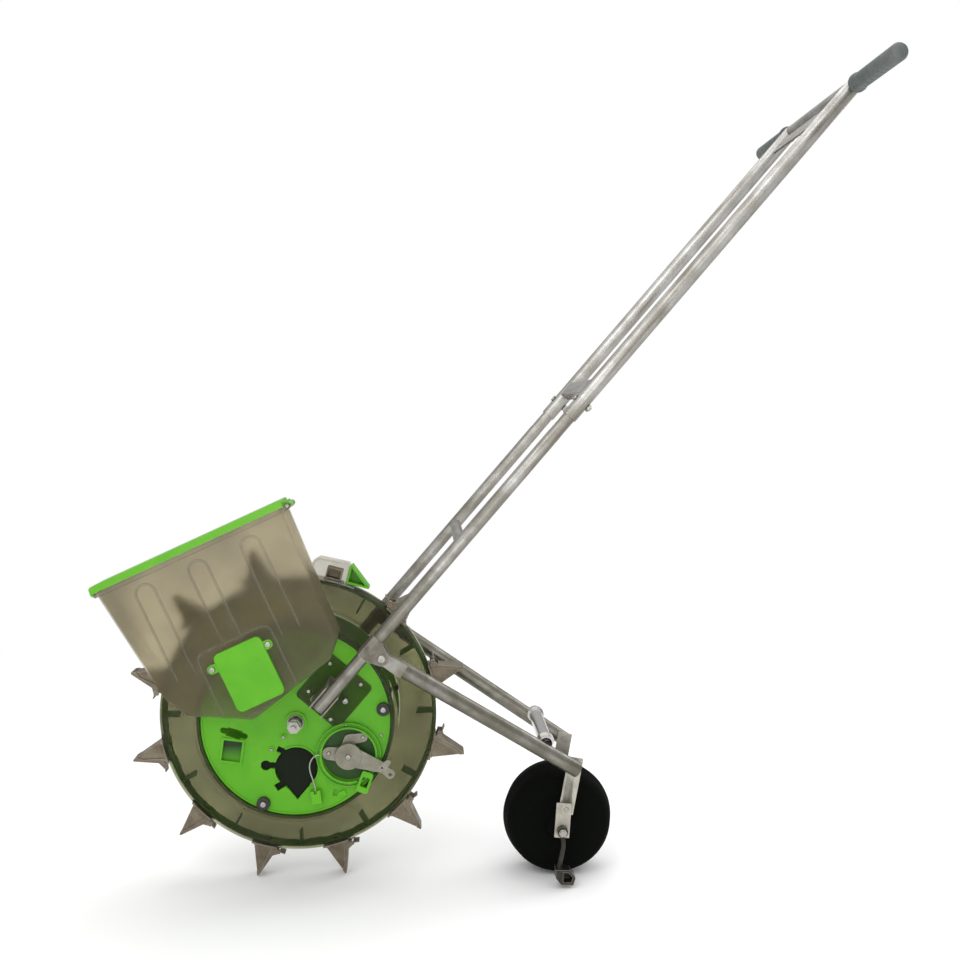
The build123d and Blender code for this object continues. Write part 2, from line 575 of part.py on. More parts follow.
def seed_wheel():
    """Seed roller with hemispherical cells, on its shaft."""
    wheel = rod(METER_X, METER_Z, SEED_WHEEL_R, -SEED_WHEEL_Y[0], -SEED_WHEEL_Y[1])
    mid = -(SEED_WHEEL_Y[0] + SEED_WHEEL_Y[1]) / 2
    for i in range(SEED_CELLS):
        x, z = meter_spot(SEED_WHEEL_R + 1, 360 / SEED_CELLS * i + 40)
        wheel -= Pos(x, mid, z) * Sphere(6)
    shaft = rod(METER_X, METER_Z, METER_SHAFT_R, -DISC_OUT_Y - 5.5, -8)
    return wheel + shaft


def meter_lever():
    """Cast grey lever: hub disc and a tapering arm with an eye lug, turning on the housing's boss."""
    ex, ez = 116, -61
    eye_x, eye_z = 127, -70
    y0, y1 = -DISC_OUT_Y - 8.6, -DISC_OUT_Y - 14
    hub = Pos(METER_X, METER_Z) * Circle(LEVER_HUB_R)
    arm = make_hull((Pos(METER_X + 8, METER_Z - 2) * Circle(13)).edges() + (Pos(ex, ez) * Circle(7)).edges())
    lug = make_hull((Pos(ex, ez) * Circle(5)).edges() + (Pos(eye_x, eye_z) * Circle(6)).edges())
    ear = make_hull((Pos(ex, ez) * Circle(5)).edges() + (Pos(124, -54) * Circle(3.5)).edges())
    body = slab(hub, y0, y1) + slab(arm, y0, y0 - 3.6) + slab(lug, y0, y0 - 5) + slab(ear, y0, y0 - 5)
    body += rod(METER_X, METER_Z, 12, -DISC_OUT_Y - 6.3, y0)
    body -= rod(METER_X, METER_Z, METER_SHAFT_R + 0.5, -DISC_OUT_Y - 10, -50)
    body -= rod(eye_x, eye_z, 2.5, -80, -50)
    body -= rod(ex, ez, 1.5, -80, -50)
    body = chamfer(body.edges().filter_by(GeomType.CIRCLE).sort_by(Axis.Y)[0], 0.8)
    return body - rod(METER_X, METER_Z, M4_HOLE_R, -80, -50)


def lever_bolt():
    """Centre screw of the lever."""
    return pan_screw(METER_X, METER_Z, -DISC_OUT_Y - 14.1, head_r=3.6, head_h=2.4, shank_r=2, shank=4)


def meter_cover():
    """Grey cast plate in the recess: a lobe to the left and a bent arm to the upper right."""
    left = make_hull((Pos(*meter_spot(*METER_COVER_LEFT)) * Circle(8.5)).edges()
                     + (Pos(METER_X - 6, METER_Z) * Circle(10)).edges())
    knee = Pos(METER_X + 1, METER_Z + 21)
    rise = make_hull((knee * Circle(7)).edges() + (Pos(METER_X - 2, METER_Z + 6) * Circle(10)).edges())
    arm = make_hull((knee * Circle(7)).edges() + (Pos(*meter_spot(*METER_COVER_UPPER)) * Circle(6)).edges())
    cover = slab(left + rise + arm, -DISC_OUT_Y - 0.1, -DISC_OUT_Y - 4.5)
    cover = cover & rod(METER_X, METER_Z, METER_RECESS_R - 1.6, -70, -50)
    cover -= rod(METER_X, METER_Z, 10.4, -70, -50)
    return cover - [rod(*meter_spot(*spot), SCREW_HOLE_R, -70, -50) for spot in METER_COVER_SCREWS]


def brush_spring_wire():
    """Bent spring wire from the meter's lip, bowing to the left and down to its green block."""
    y = -DISC_OUT_Y - 9.4
    spots = [(32, -43), (25, -45), (19, -55), (20, -68), (25, -84), (26, -92)]
    path = Spline(*[Vector(x, y, z) for x, z in spots])
    return sweep(Plane(origin=path @ 0, z_dir=path % 0) * Circle(1.1), path)


def seed_brush():
    """Green brush block that the spring wire runs into."""
    block = slab(Pos(27, -101) * Rot(0, 0, 8) * Rectangle(14, 18), -DISC_OUT_Y, -DISC_OUT_Y - 12)
    block = fillet(block.edges().sort_by(Axis.Y)[0:4], 1.2)
    return block - slab(Pos(26, -93) * Rectangle(4, 6), -DISC_OUT_Y - 7.5, -DISC_OUT_Y - 13)


def housing_latch():
    """Green snap frame with a window, standing off the meter's flange on a short foot."""
    place = Pos(92.6, -80.9) * Rot(0, 0, -20)
    outline = RectangleRounded(16, 29, 3) - Rectangle(10, 14)
    frame = slab(place * outline, -DRUM_MOUTH_Y - 0.6, -DRUM_MOUTH_Y - 6)
    top = place * Pos(0, 10)
    foot = slab(top * Rectangle(8, 5), -DISC_OUT_Y - 6, -DRUM_MOUTH_Y - 0.6)
    foot += slab(Pos(*meter_spot(METER_SCREW_R - 1.2, -62)) * Circle(1.4), -DISC_OUT_Y - 3, -DRUM_MOUTH_Y - 0.6)
    return frame + foot


def small_screws():
    """Pan-head screws on the left disc and the meter."""
    screws = [pan_screw(x, z, -DISC_OUT_Y - 1.5, head_r=2.4) for x, z in DISC_SCREWS]
    screws.append(pan_screw(*EDGE_SCREW, -DISC_OUT_Y, head_r=2.2, shank=4.5))
    screws += [pan_screw(*meter_spot(METER_SCREW_R, a), -DISC_OUT_Y - 3, head_r=1.75) for a in METER_SCREWS]
    screws += [pan_screw(*meter_spot(*spot), -DISC_OUT_Y - 4.5, head_r=2.6) for spot in METER_COVER_SCREWS]
    return group(screws)


def seed_chute():
    """Green duct behind the disc, from the hopper's outlet down to the seed chamber."""
    x0, z0 = OUTLET
    x1, z1 = meter_spot(SEED_WHEEL_R + 9, 118)
    start, end = Vector(x0, 0, z0), Vector(x1, 0, z1)
    run = end - start
    tilt = degrees(atan2(run.Z, run.X))
    centre = (start + end) * 0.5
    place = Pos(centre.X, centre.Z) * Rot(0, 0, tilt)
    duct = slab(place * Rectangle(run.length, 22), -46.5, -20)
    duct -= slab(place * Pos(2, 0) * Rectangle(run.length, 19), -45, -21.5)
    collar = slab(Pos(x0, z0) * Rectangle(28, 24), HOPPER_Y[1] + GAP, -45)
    duct += collar
    duct -= slab(Pos(x0, z0) * Rectangle(25, 19), -70, -35)
    meter_clear = rod(METER_X, METER_Z, CHAMBER_R + GAP, -60, 0)
    return duct - meter_clear - rod(0, 0, SPACER_R + 1, -60, 0)


# ------------------------------------------------------------------ handle brackets
def handle_pad_outline():
    """Square pad under the handle bracket, turned with the handle."""
    pad = Rot(0, 0, HANDLE_ANGLE) * RectangleRounded(75, 75, 6)
    return Pos(52, 42) * pad


def handle_pad():
    pad = slab(handle_pad_outline(), -DISC_OUT_Y - 0.1, -DISC_OUT_Y - 3)
    pad -= [rod(x, z, M4_HOLE_R, -60, -50) for x, z in [*PLATE_BOLTS, *bracket_anchors()]]
    pad -= rod(*BIG_BOLT, M6_HOLE_R, -60, -50)
    return pad - rod(METER_X, METER_Z, METER_LIP_R + 0.5, -70, -50) - rod(0, 0, 15.5, -70, -50)


def bracket_anchors():
    spots = [on_handle(at) for at in BRACKET_ANCHORS]
    return [(spot.X, spot.Z) for spot in spots]


def handle_bracket():
    """Folded steel bracket: a base on the pad, hidden by the tube, and two walls welded to the tube."""
    y_pad, y_end = -DISC_OUT_Y - 3.1, -HANDLE_Y - 4
    inner = LOWER_TUBE_R + 0.05
    base = extrude(Plane(origin=on_handle(8, 0, y_pad), x_dir=H_DIR, z_dir=(0, -1, 0))
                   * RectangleRounded(44, 2 * inner + 4, 4), 2.5)
    walls = []
    for off in (-inner - 2, inner):
        origin = on_handle(12, 0, y_pad)
        wall_plane = Plane(origin=origin, x_dir=H_DIR, z_dir=(0, -1, 0))
        wall = extrude(wall_plane * (Pos(0, -(off + 1)) * Rectangle(34, 2)), y_pad - y_end)
        walls.append(wall)
    bracket = base + walls - [rod(x, z, M4_HOLE_R, -70, -50) for x, z in bracket_anchors()]
    return bracket - rod(METER_X, METER_Z, METER_LIP_R + 0.5, -70, -50) - rod(0, 0, 15.5, -70, -50)


def bracket_bolts():
    """Screws that hold the pad to the disc, and screws from behind the disc into the bracket."""
    bolts = [pan_screw(x, z, -DISC_OUT_Y - 3, head_r=2.8, shank_r=2, shank=7) for x, z in PLATE_BOLTS]
    bolts.append(pan_screw(*BIG_BOLT, -DISC_OUT_Y - 3, head_r=4.4, head_h=4, shank_r=3, shank=7))
    bolts += [pan_screw(x, z, -DISC_IN_Y, shank_r=2, shank=9, side=1) for x, z in bracket_anchors()]
    return both(group(bolts))


# ------------------------------------------------------------------ handle
def lower_tube():
    body = tube(on_handle(0), on_handle(LOWER_TUBE_END), LOWER_TUBE_R, LOWER_TUBE_R - LOWER_TUBE_T)
    middle = (SLOT_FROM + SLOT_TO) / 2
    slot_plane = Plane(origin=on_handle(middle, -20), x_dir=H_DIR, z_dir=H_SIDE)
    return body - extrude(slot_plane * SlotOverall(SLOT_TO - SLOT_FROM, 2 * (JOINT_BOLT_R + RUN)), 40)


def lower_brace():
    """Round cross tube between the lower tubes, with saddle ends."""
    centre = on_handle(LOWER_BRACE_AT)
    brace = rod(centre.X, centre.Z, 8, -HANDLE_Y, HANDLE_Y, bore=6.6)
    for side in (-1, 1):
        brace -= tube(on_handle(LOWER_BRACE_AT - 40, 0, side * HANDLE_Y),
                      on_handle(LOWER_BRACE_AT + 40, 0, side * HANDLE_Y), LOWER_TUBE_R + 0.02)
    return brace


def upper_tube():
    body = tube(on_handle(JOINT_AT), on_handle(HANDLE_LENGTH), UPPER_TUBE_R, LOWER_TUBE_R + 0.08)
    body -= tube(on_handle(JOINT_BOLT_AT, -20), on_handle(JOINT_BOLT_AT, 20), JOINT_BOLT_R)
    bar = on_handle(HANDLE_LENGTH)
    return body - rod(bar.X, bar.Z, BAR_R + 0.02, -HANDLE_Y - 30, -HANDLE_Y + 30)


def upper_brace():
    """Flat rectangular cross tube between the upper tubes."""
    half = HANDLE_Y
    profile = RectangleRounded(24, 14, 2) - RectangleRounded(21, 11, 1)
    outline = handle_plane(UPPER_BRACE_AT, 0, -half) * profile
    brace = extrude(outline, -2 * half)
    for side in (-1, 1):
        brace -= tube(on_handle(UPPER_BRACE_AT - 40, 0, side * half),
                      on_handle(UPPER_BRACE_AT + 40, 0, side * half), UPPER_TUBE_R + 0.02)
    return brace


def handle_bar():
    bar = on_handle(HANDLE_LENGTH)
    return rod(bar.X, bar.Z, BAR_R, -BAR_HALF, BAR_HALF, bore=BAR_R - 1.5)


def handle_gusset():
    """Thin stiffening plate below the handle bar, between the two tubes."""
    y_in = HANDLE_Y - UPPER_TUBE_R - 0.1
    length, drop = 34, BAR_R + 0.1
    origin = on_handle(HANDLE_LENGTH - drop - length / 2, 0, -y_in)
    return extrude(Plane(origin=origin, x_dir=H_DIR, z_dir=(0, 1, 0)) * Rectangle(length, 3), 2 * y_in)


def grip():
    """Moulded grip with a rounded end, a collar and shallow rings."""
    bar = on_handle(HANDLE_LENGTH)
    y0, y1 = GRIP_FROM, BAR_HALF + 5
    section = [(BAR_R + 0.02, y0), (GRIP_R + 1.5, y0), (GRIP_R + 1.5, y0 + 4), (GRIP_R, y0 + 6)]
    rings = 8
    step = (y1 - 12 - (y0 + 10)) / rings
    for i in range(rings):
        y = y0 + 10 + i * step
        section += [(GRIP_R, y), (GRIP_R - 0.7, y + 1), (GRIP_R - 0.7, y + 2.5), (GRIP_R, y + 3.5)]
    section += [(GRIP_R, y1 - 6), (GRIP_R - 2, y1 - 2), (GRIP_R - 6, y1), (0, y1), (0, BAR_HALF + 0.1),
                (BAR_R + 0.02, BAR_HALF + 0.1)]
    body = revolve(make_face(Polyline(*section, close=True)), Axis.Y)
    return Pos(bar.X, 0, bar.Z) * mirror(body, about=Plane.XZ)


def joint_bolt():
    """Bolt through the upper tube and the lower tube's slot: low head above, nut below."""
    at, reach = JOINT_BOLT_AT, UPPER_TUBE_R
    shank = tube(on_handle(at, -reach), on_handle(at, reach + 5), JOINT_BOLT_R)
    head = tube(on_handle(at, -reach), on_handle(at, -reach - 2), 4.6)
    nut = extrude(Plane(origin=on_handle(at, reach), z_dir=H_SIDE) * hexagon(9), 3.5)
    return both(head + shank + nut)


# ------------------------------------------------------------------ rear frame
PIVOT = on_handle(CLAMP_AT, PIVOT_OFF)


def arm_clamp():
    """Sleeve round the lower tube with two ears that hold the rear arm."""
    half = CLAMP_LENGTH / 2
    sleeve = tube(on_handle(CLAMP_AT - half), on_handle(CLAMP_AT + half), CLAMP_R)
    ears = []
    for y in (-HANDLE_Y - ARM_TONGUE_HALF - 2.5, -HANDLE_Y + ARM_TONGUE_HALF + 0.2):
        tube_side = Pos(0, 0) * Rectangle(CLAMP_LENGTH, 14)
        round_end = Pos(0, -PIVOT_OFF) * Circle(9.8)
        outline = make_hull(tube_side.edges() + round_end.edges())
        ears.append(extrude(handle_plane(CLAMP_AT, 0, y + 2.3) * outline, 2.3))
    body = sleeve + ears
    body -= tube(on_handle(0), on_handle(300), LOWER_TUBE_R + 0.02)
    return body - rod(PIVOT.X, PIVOT.Z, PIVOT_R + 0.02, -150, -90)


def pivot_bolt():
    y0 = -HANDLE_Y - ARM_TONGUE_HALF - 2.6
    y1 = -HANDLE_Y + ARM_TONGUE_HALF + 2.6
    body = rod(PIVOT.X, PIVOT.Z, PIVOT_R, y0, y1 + 9)
    head = rod(PIVOT.X, PIVOT.Z, 5.2, y0, y0 - 3.2)
    head = fillet(head.edges().sort_by(Axis.Y)[0], 1.6)
    head -= slab(Pos(PIVOT.X, PIVOT.Z) * hexagon(4), y0 - 1.6, y0 - 4)
    nut = slab(Pos(PIVOT.X, PIVOT.Z) * hexagon(10), y1, y1 + 5)
    return body + head + nut


def rear_arm():
    """Round arm, flattened to a tongue at the pivot and cut square at the wheel end."""
    start = Vector(PIVOT.X, -HANDLE_Y, PIVOT.Z)
    end = Vector(ARM_END_X, -ARM_END_Y, ARM_END_Z)
    along = (end - start).normalized()
    arm = tube(tuple(start + along * 24), tuple(end), ARM_R)
    flat_dir = Vector(end.X - start.X, 0, end.Z - start.Z).normalized()
    tongue_plane = Plane(origin=(start.X, -HANDLE_Y + ARM_TONGUE_HALF, start.Z), x_dir=flat_dir, z_dir=(0, -1, 0))
    outline = make_hull(Circle(ARM_TONGUE_R).edges() + (Pos(30, 0) * Rectangle(8, 2 * ARM_R - 2)).edges())
    arm += extrude(tongue_plane * outline, 2 * ARM_TONGUE_HALF)
    arm -= rod(PIVOT.X, PIVOT.Z, PIVOT_R + RUN, -150, -90)
    return arm - slab(Pos(ARM_END_X, ARM_END_Z) * Rectangle(60, 60), -FORK_IN_Y - FORK_T - GAP, 0)


def cross_tube():
    """Bright cross tube between the rear arms, with a collar at each end."""
    half = arm_y(CROSS_X)
    body = rod(CROSS_X, CROSS_Z, 9.5, -half, half, bore=8)
    for side in (-1, 1):
        y = side * (half - ARM_R - 5)
        body += rod(CROSS_X, CROSS_Z, 12, y, y + side * 4, bore=8)
    body -= tube((PIVOT.X, -HANDLE_Y, PIVOT.Z), (ARM_END_X, -ARM_END_Y, ARM_END_Z), ARM_R + 0.02)
    body -= tube((PIVOT.X, HANDLE_Y, PIVOT.Z), (ARM_END_X, ARM_END_Y, ARM_END_Z), ARM_R + 0.02)
    return body.solids().sort_by(SortBy.VOLUME)[-1]


def arm_y(x):
    """Distance of a rear arm from the middle at position x."""
    t = (x - PIVOT.X) / (ARM_END_X - PIVOT.X)
    return HANDLE_Y + (ARM_END_Y - HANDLE_Y) * t


def fork_bar(p, q, y0, y1, over=FORK_W / 2):
    """Flat bar from p to q in X-Z, running past both points by over."""
    dx, dz = q[0] - p[0], q[1] - p[1]
    centre = Pos((p[0] + q[0]) / 2, (p[1] + q[1]) / 2) * Rot(0, 0, degrees(atan2(dz, dx)))
    return slab(centre * RectangleRounded(hypot(dx, dz) + 2 * over, FORK_W, 1), y0, y1)


def fork_hanger():
    bar = fork_bar(FORK_TOP, FORK_LAP, -FORK_IN_Y, -FORK_IN_Y - FORK_T, 7)
    return bar - rod(*FORK_TOP, M5_HOLE_R, -70, -50) - rod(*FORK_LAP, M5_HOLE_R, -70, -50)


def fork_drop():
    low = (WHEEL_X, WHEEL_Z)
    y0, y1 = -FORK_IN_Y - FORK_T, -FORK_IN_Y - 2 * FORK_T
    top = (FORK_LAP[0] - 4, FORK_LAP[1] - 1)
    bar = fork_bar(top, low, y0, y1, 10)
    return bar - rod(*low, WHEEL_AXLE_R, -70, -50) - rod(*FORK_LAP, M5_HOLE_R, -70, -50)


def fork_bolts():
    """Bolts that join the fork plates to each other and to the arms."""
    y_in = -FORK_IN_Y
    lap = rod(*FORK_LAP, 2.5, y_in, y_in - 2 * FORK_T)
    lap += rod(*FORK_LAP, 4, y_in, y_in + 2)
    cap = rod(*FORK_LAP, 3.2, y_in - 2 * FORK_T, y_in - 2 * FORK_T - 1.4)
    cap = fillet(cap.edges().sort_by(Axis.Y)[0], 0.9)
    top = rod(*FORK_TOP, 2.5, y_in + 2, y_in - FORK_T)
    top += rod(*FORK_TOP, 4, y_in, y_in + 2)
    return both(group([lap + cap, top]))


def wheel_axle():
    """Through bolt of the press wheel, with a spacer inside each fork plate and a nut outside."""
    y = FORK_IN_Y + 2 * FORK_T + 6.6
    body = rod(WHEEL_X, WHEEL_Z, WHEEL_AXLE_R, -y - 6, y + 6)
    for side in (-1, 1):
        body += slab(Pos(WHEEL_X, WHEEL_Z) * hexagon(10), side * y, side * (y + 4))
        body += rod(WHEEL_X, WHEEL_Z, 8, side * (WHEEL_HALF + 1), side * (FORK_IN_Y + FORK_T - 0.1))
    return body


def press_wheel():
    """Press wheel: crowned tread with a middle ridge, dished sides and a hub."""
    section = [(WHEEL_AXLE_R + RUN, -WHEEL_HALF), (16, -WHEEL_HALF), (18, -WHEEL_HALF + 3),
               (22, -38), (48, -40), (66, -33), (72, -25), (WHEEL_R - 1.5, -10), (WHEEL_R, -2)]
    mirrored = [(r, -y) for r, y in reversed(section)]
    body = revolve(make_face(Polyline(*section, *mirrored, close=True)), Axis.Y)
    return Pos(WHEEL_X, 0, WHEEL_Z) * body


def cover_tine():
    """Bent rod with an eye on the wheel bolt and a short bent channel foot."""
    y = -FORK_IN_Y - 2 * FORK_T - 3.3
    x, z = WHEEL_X - 5, WHEEL_Z - 56
    spots = [(WHEEL_X, WHEEL_Z - 4), (WHEEL_X + 1.5, WHEEL_Z - 20), (WHEEL_X - 2.5, WHEEL_Z - 40), (x, z)]
    path = FilletPolyline(*[Vector(px, y, pz) for px, pz in spots], radius=8)
    stem = sweep(Plane(origin=path @ 0, z_dir=path % 0) * Circle(TINE_R), path)
    foot = Polyline((x - 5, z + 6), (x + 15, z + 5), (x + 22, z - 6), (x + 19, z - 16), (x + 2, z - 15),
                    (x - 5, z - 6), close=True)
    hollow = Polyline((x + 5, z + 2), (x + 13, z + 1.5), (x + 18, z - 6), (x + 16, z - 12), (x + 5, z - 11.5),
                      close=True)
    shoe = slab(make_face(foot), y - 9, y + 9) - slab(make_face(hollow), y - 12, y + 6)
    body = rod(WHEEL_X, WHEEL_Z, 7.5, y - TINE_R, y + TINE_R) + stem + shoe
    return body - rod(WHEEL_X, WHEEL_Z, WHEEL_AXLE_R, -90, -50)


# ------------------------------------------------------------------ hopper
def hopper_plane():
    """Plane of the hopper's outline: x along the rim, y up, normal -Y, at the middle plane."""
    a = radians(HOPPER_TILT)
    return Plane(origin=(HOPPER_X, 0, HOPPER_Z), x_dir=(cos(a), 0, sin(a)), z_dir=(0, -1, 0))


def hopper_slab(outline, y0, y1):
    plane = hopper_plane()
    plane = plane.offset(-max(y0, y1))
    return extrude(plane * outline, abs(y1 - y0))


def hopper_outline(inset, top):
    """Side outline of the hopper, drawn in by inset, with its open top at height top."""
    corners = [(inset, top), (HOPPER_W - inset, top), (HOPPER_W - 8 - inset, -182 + inset * 0.3),
               (HOPPER_W - 26 - inset * 0.7, -203 + inset * 0.9), (110, -233 + inset * 1.1),
               (36 + inset * 0.8, -193 + inset * 0.8), (19 + inset, -160)]
    face = make_face(Polyline(*corners, close=True))
    low = [v for v in face.vertices() if v.Y < -100]
    return fillet(low, 12 - inset)


def flute(p, wall=0):
    """Round-topped panel outline on the hopper's side, 27 wide, drawn in by wall."""
    long = 98 if p == FLUTES[1] else 120
    r, top = 13.5 - wall, -14 - 13.5
    return Pos(p, top) * Circle(r) + Pos(p, top - long / 2 - wall / 2) * Rectangle(2 * r, long + wall)


def hopper_body():
    y0, y1 = HOPPER_Y
    body = hopper_slab(hopper_outline(0, 0), y0, y1)
    near_edges = body.edges().filter_by(lambda e: abs(e.center().Y - y0) < 0.01 and e.center().Z < 250)
    rim_edge = near_edges.sort_by(Axis.Z)[-1]
    body = fillet([e for e in near_edges if e != rim_edge and not on_rim(e)], 3.5)
    body -= hopper_slab(hopper_outline(HOPPER_T, 5), y0 + HOPPER_T, y1 - HOPPER_T)
    for p in FLUTES:
        body += hopper_slab(flute(p) - flute(p, 2), y0 - 1.4, y0 + 0.5)
    panel = Pos(COVER_P - 2, COVER_Q) * (RectangleRounded(104, 100, 12) - RectangleRounded(100, 96, 10))
    body += hopper_slab(panel & hopper_outline(4, -20), y0 - 1.2, y0 + 0.5)
    band = Rectangle(HOPPER_W + 5, 6, align=(Align.MIN, Align.MAX))
    rim = hopper_slab(Pos(-2.5, 0) * band, y0 - 2.5, y1 + 2)
    rim -= hopper_slab(Pos(HOPPER_T, 5) * Rectangle(HOPPER_W - 2 * HOPPER_T, 20, align=(Align.MIN, Align.MAX)),
                       y0 + HOPPER_T, y1 - HOPPER_T)
    body += rim
    # spigot opening to the chute, mounting bosses, outlet window
    body -= slab(Pos(*OUTLET) * Rectangle(24, 20), y1 - 4, y1 + 2)
    for x, z in HOPPER_FEET:
        body += rod(x, z, 6, y1 - 0.5, -DISC_OUT_Y - 0.1)
        body -= rod(x, z, M4_HOLE_R, y1 - 0.1, -50)
    body -= hopper_slab(outlet_outline(-5), y0 - 5, y0 + 5)
    # hinge knuckles at the rear top corner
    for ya, yb in ((-122, -112), (-76, -66)):
        knuckle = hopper_slab(Pos(HINGE_P, HINGE_Q) * Circle(4), ya, yb)
        knuckle += hopper_slab(Pos(HOPPER_W + 3.5, HINGE_Q - 2) * Rectangle(7, 5), ya, yb)
        body += knuckle
    return body - hopper_slab(Pos(HINGE_P, HINGE_Q) * Circle(LID_PIN_R), -130, -60)


def on_rim(edge):
    """True for an edge that lies on the hopper's open top."""
    x, z = edge.center().X - HOPPER_X, edge.center().Z - HOPPER_Z
    a = radians(HOPPER_TILT)
    return abs(-x * sin(a) + z * cos(a)) < 0.5


def outlet_outline(grow):
    """Clean-out cover's four-sided outline."""
    return Pos(COVER_P, COVER_Q) * RectangleRounded(COVER_W + 2 * grow, COVER_H + 2 * grow, 8 + max(grow, -4))


def outlet_cover():
    """Green plate over the hopper's clean-out window, held by two screws through its ears."""
    y = HOPPER_Y[0]
    cover = hopper_slab(outlet_outline(0), y - 0.2, y - 4.5)
    cover = fillet(cover.edges().filter_by(lambda e: abs(e.center().Y - (y - 4.5)) < 0.01), 1.5)
    for p, q in COVER_EARS:
        side = 1 if p < COVER_P else -1
        ear = Pos(p, q) * Circle(6) + Pos(p + side * 6, q) * Rectangle(12, 12)
        cover += hopper_slab(ear, y - 0.2, y - 3)
        cover -= hopper_slab(Pos(p, q) * Circle(M4_HOLE_R), y - 10, y + 5)
    return cover


def hopper_screws():
    """Screws of the outlet cover and of the hopper's mounting bosses."""
    screws = []
    for p, q in COVER_EARS:
        x, z = hopper_point(p, q)
        screws.append(pan_screw(x, z, HOPPER_Y[0] - 3, head_r=4, head_h=2.5, shank_r=2, shank=2.9))
    for x, z in HOPPER_FEET:
        body = rod(x, z, 2, -HOPPER_FEET_TIP, -DISC_IN_Y)
        body += rod(x, z, 4, -DISC_IN_Y, -DISC_IN_Y + 2.5)
        screws.append(body)
    return group(screws)


def lid_hinge_pin():
    return hopper_slab(Pos(HINGE_P, HINGE_Q) * Circle(LID_PIN_R), -123, -65)


def hopper_lid():
    """Green lid: flat top with a skirt, a latch lip at the front and a knuckle at the rear."""
    y0, y1 = HOPPER_Y[0] - 3.5, HOPPER_Y[1] + 2.5
    top = hopper_slab(Pos(-4, 0.4) * Rectangle(HOPPER_W + 6, LID_T, align=(Align.MIN, Align.MIN)), y0, y1)
    upper = top.edges().filter_by(lambda e: on_lid_top(e))
    top = fillet(upper, 2)
    top -= hopper_slab(Pos(HOPPER_T, 0) * Rectangle(HOPPER_W - 2 * HOPPER_T, LID_T - 2.5,
                                                    align=(Align.MIN, Align.MIN)), y0 + 6, y1 - 6)
    latch = Polyline((-4, 2), (-4, 9), (-12, 7), (-13, -2), (-10, -5), (-8, -1), close=True)
    top += hopper_slab(make_face(latch), -106, -82)
    knuckle = hopper_slab(Pos(HINGE_P, HINGE_Q) * Circle(4), -111.5, -76.5)
    knuckle += hopper_slab(Pos(HINGE_P - 3.5, HINGE_Q + 4) * Rectangle(9, 5), -111.5, -76.5)
    top += knuckle
    return top - hopper_slab(Pos(HINGE_P, HINGE_Q) * Circle(LID_PIN_R + RUN), -130, -60)


def on_lid_top(edge):
    x, z = edge.center().X - HOPPER_X, edge.center().Z - HOPPER_Z
    a = radians(HOPPER_TILT)
    return abs(-x * sin(a) + z * cos(a) - 0.4 - LID_T) < 0.5


# ------------------------------------------------------------------ assembly
def both_sides(*makers):
    return group([both(maker()) for maker in makers])


def build_all():
    rollers = group([roller_bolt(a) for a in ROLLER_ANGLES])
    pins = group([beak_pin(a) for a in BEAK_ANGLES])
    screws = group([beak_screw(a, t, y) for a in BEAK_ANGLES for t, y in beak_screw_spots()])
    hood_screws = group([beak_screw(HOOD_ANGLE, t, y) for t, y in HOOD_SCREWS])
    nodes = {
        "left_drum_shell": left_drum_shell(),
        "right_drum_shell": right_drum_shell(),
        "seed_divider": seed_divider(),
        "ring_gear": ring_gear(),
        "drive_pinion": drive_pinion(),
        "seed_wheel": seed_wheel(),
        "seed_chamber": group([seed_chamber(), seat_blank()]),
        "seed_chute": seed_chute(),
        "meter_housing": meter_housing(),
        "meter_cover": meter_cover(),
        "meter_lever": meter_lever(),
        "brush_spring_wire": brush_spring_wire(),
        "seed_brush": seed_brush(),
        "housing_latch": housing_latch(),
        "small_screws": group([small_screws(), lever_bolt(), hopper_screws(), lid_hinge_pin()]),
        "left_disc": left_disc(),
        "right_disc": right_disc(),
        "axle_bolt": group([axle_bolt(), axle_nuts()]),
        "axle_spacer": axle_spacer(),
        "handle_pads": both_sides(handle_pad),
        "handle_brackets": both_sides(handle_bracket),
        "frame_bolts": group([bracket_bolts(), rollers, both(pivot_bolt())]),
        "lower_tubes": both_sides(lower_tube),
        "lower_brace": lower_brace(),
        "arm_clamps": both_sides(arm_clamp),
        "upper_tubes": both_sides(upper_tube),
        "upper_brace": upper_brace(),
        "handle_bar": handle_bar(),
        "handle_gusset": handle_gusset(),
        "handle_grips": both_sides(grip),
        "joint_bolts": joint_bolt(),
        "rear_arms": both_sides(rear_arm),
        "cross_tube": cross_tube(),
        "fork_plates": both_sides(fork_hanger, fork_drop),
        "fork_bolts": fork_bolts(),
        "wheel_axle": wheel_axle(),
        "press_wheel": press_wheel(),
        "cover_tines": both_sides(cover_tine),
        "hopper_body": hopper_body(),
        "hopper_lid": hopper_lid(),
        "rim_hood": rim_hood(),
        "hood_lug": hood_lug(),
        "outlet_cover": outlet_cover(),
        "fixed_beaks": group([hood_block(), *[beak_frame(a) * fixed_beak() for a in BEAK_ANGLES]]),
        "beak_fasteners": group([pins, screws, hood_screws]),
        "beak_springs": group([beak_spring(a) for a in BEAK_ANGLES]),
    }
    for number, angle in enumerate(ROLLER_ANGLES, 1):
        nodes[f"guide_roller_{number}"] = guide_roller(angle)
    for number, angle in enumerate(BEAK_ANGLES, 1):
        nodes[f"movable_beak_{number:02d}"] = movable_beak(angle)
    return nodes


os.makedirs("parts", exist_ok=True)
parts = build_all()
boxes = [p.bounding_box() for p in parts.values()]
centre_x = (min(b.min.X for b in boxes) + max(b.max.X for b in boxes)) / 2
ground_z = min(b.min.Z for b in boxes)
for name, part in parts.items():
    export_step(Pos(-centre_x, 0, -ground_z) * part, f"parts/{name}.step")
print(f"origin shift x {-centre_x:.4f} z {-ground_z:.4f}")
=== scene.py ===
import math

import bpy
from mathutils import Matrix, Vector


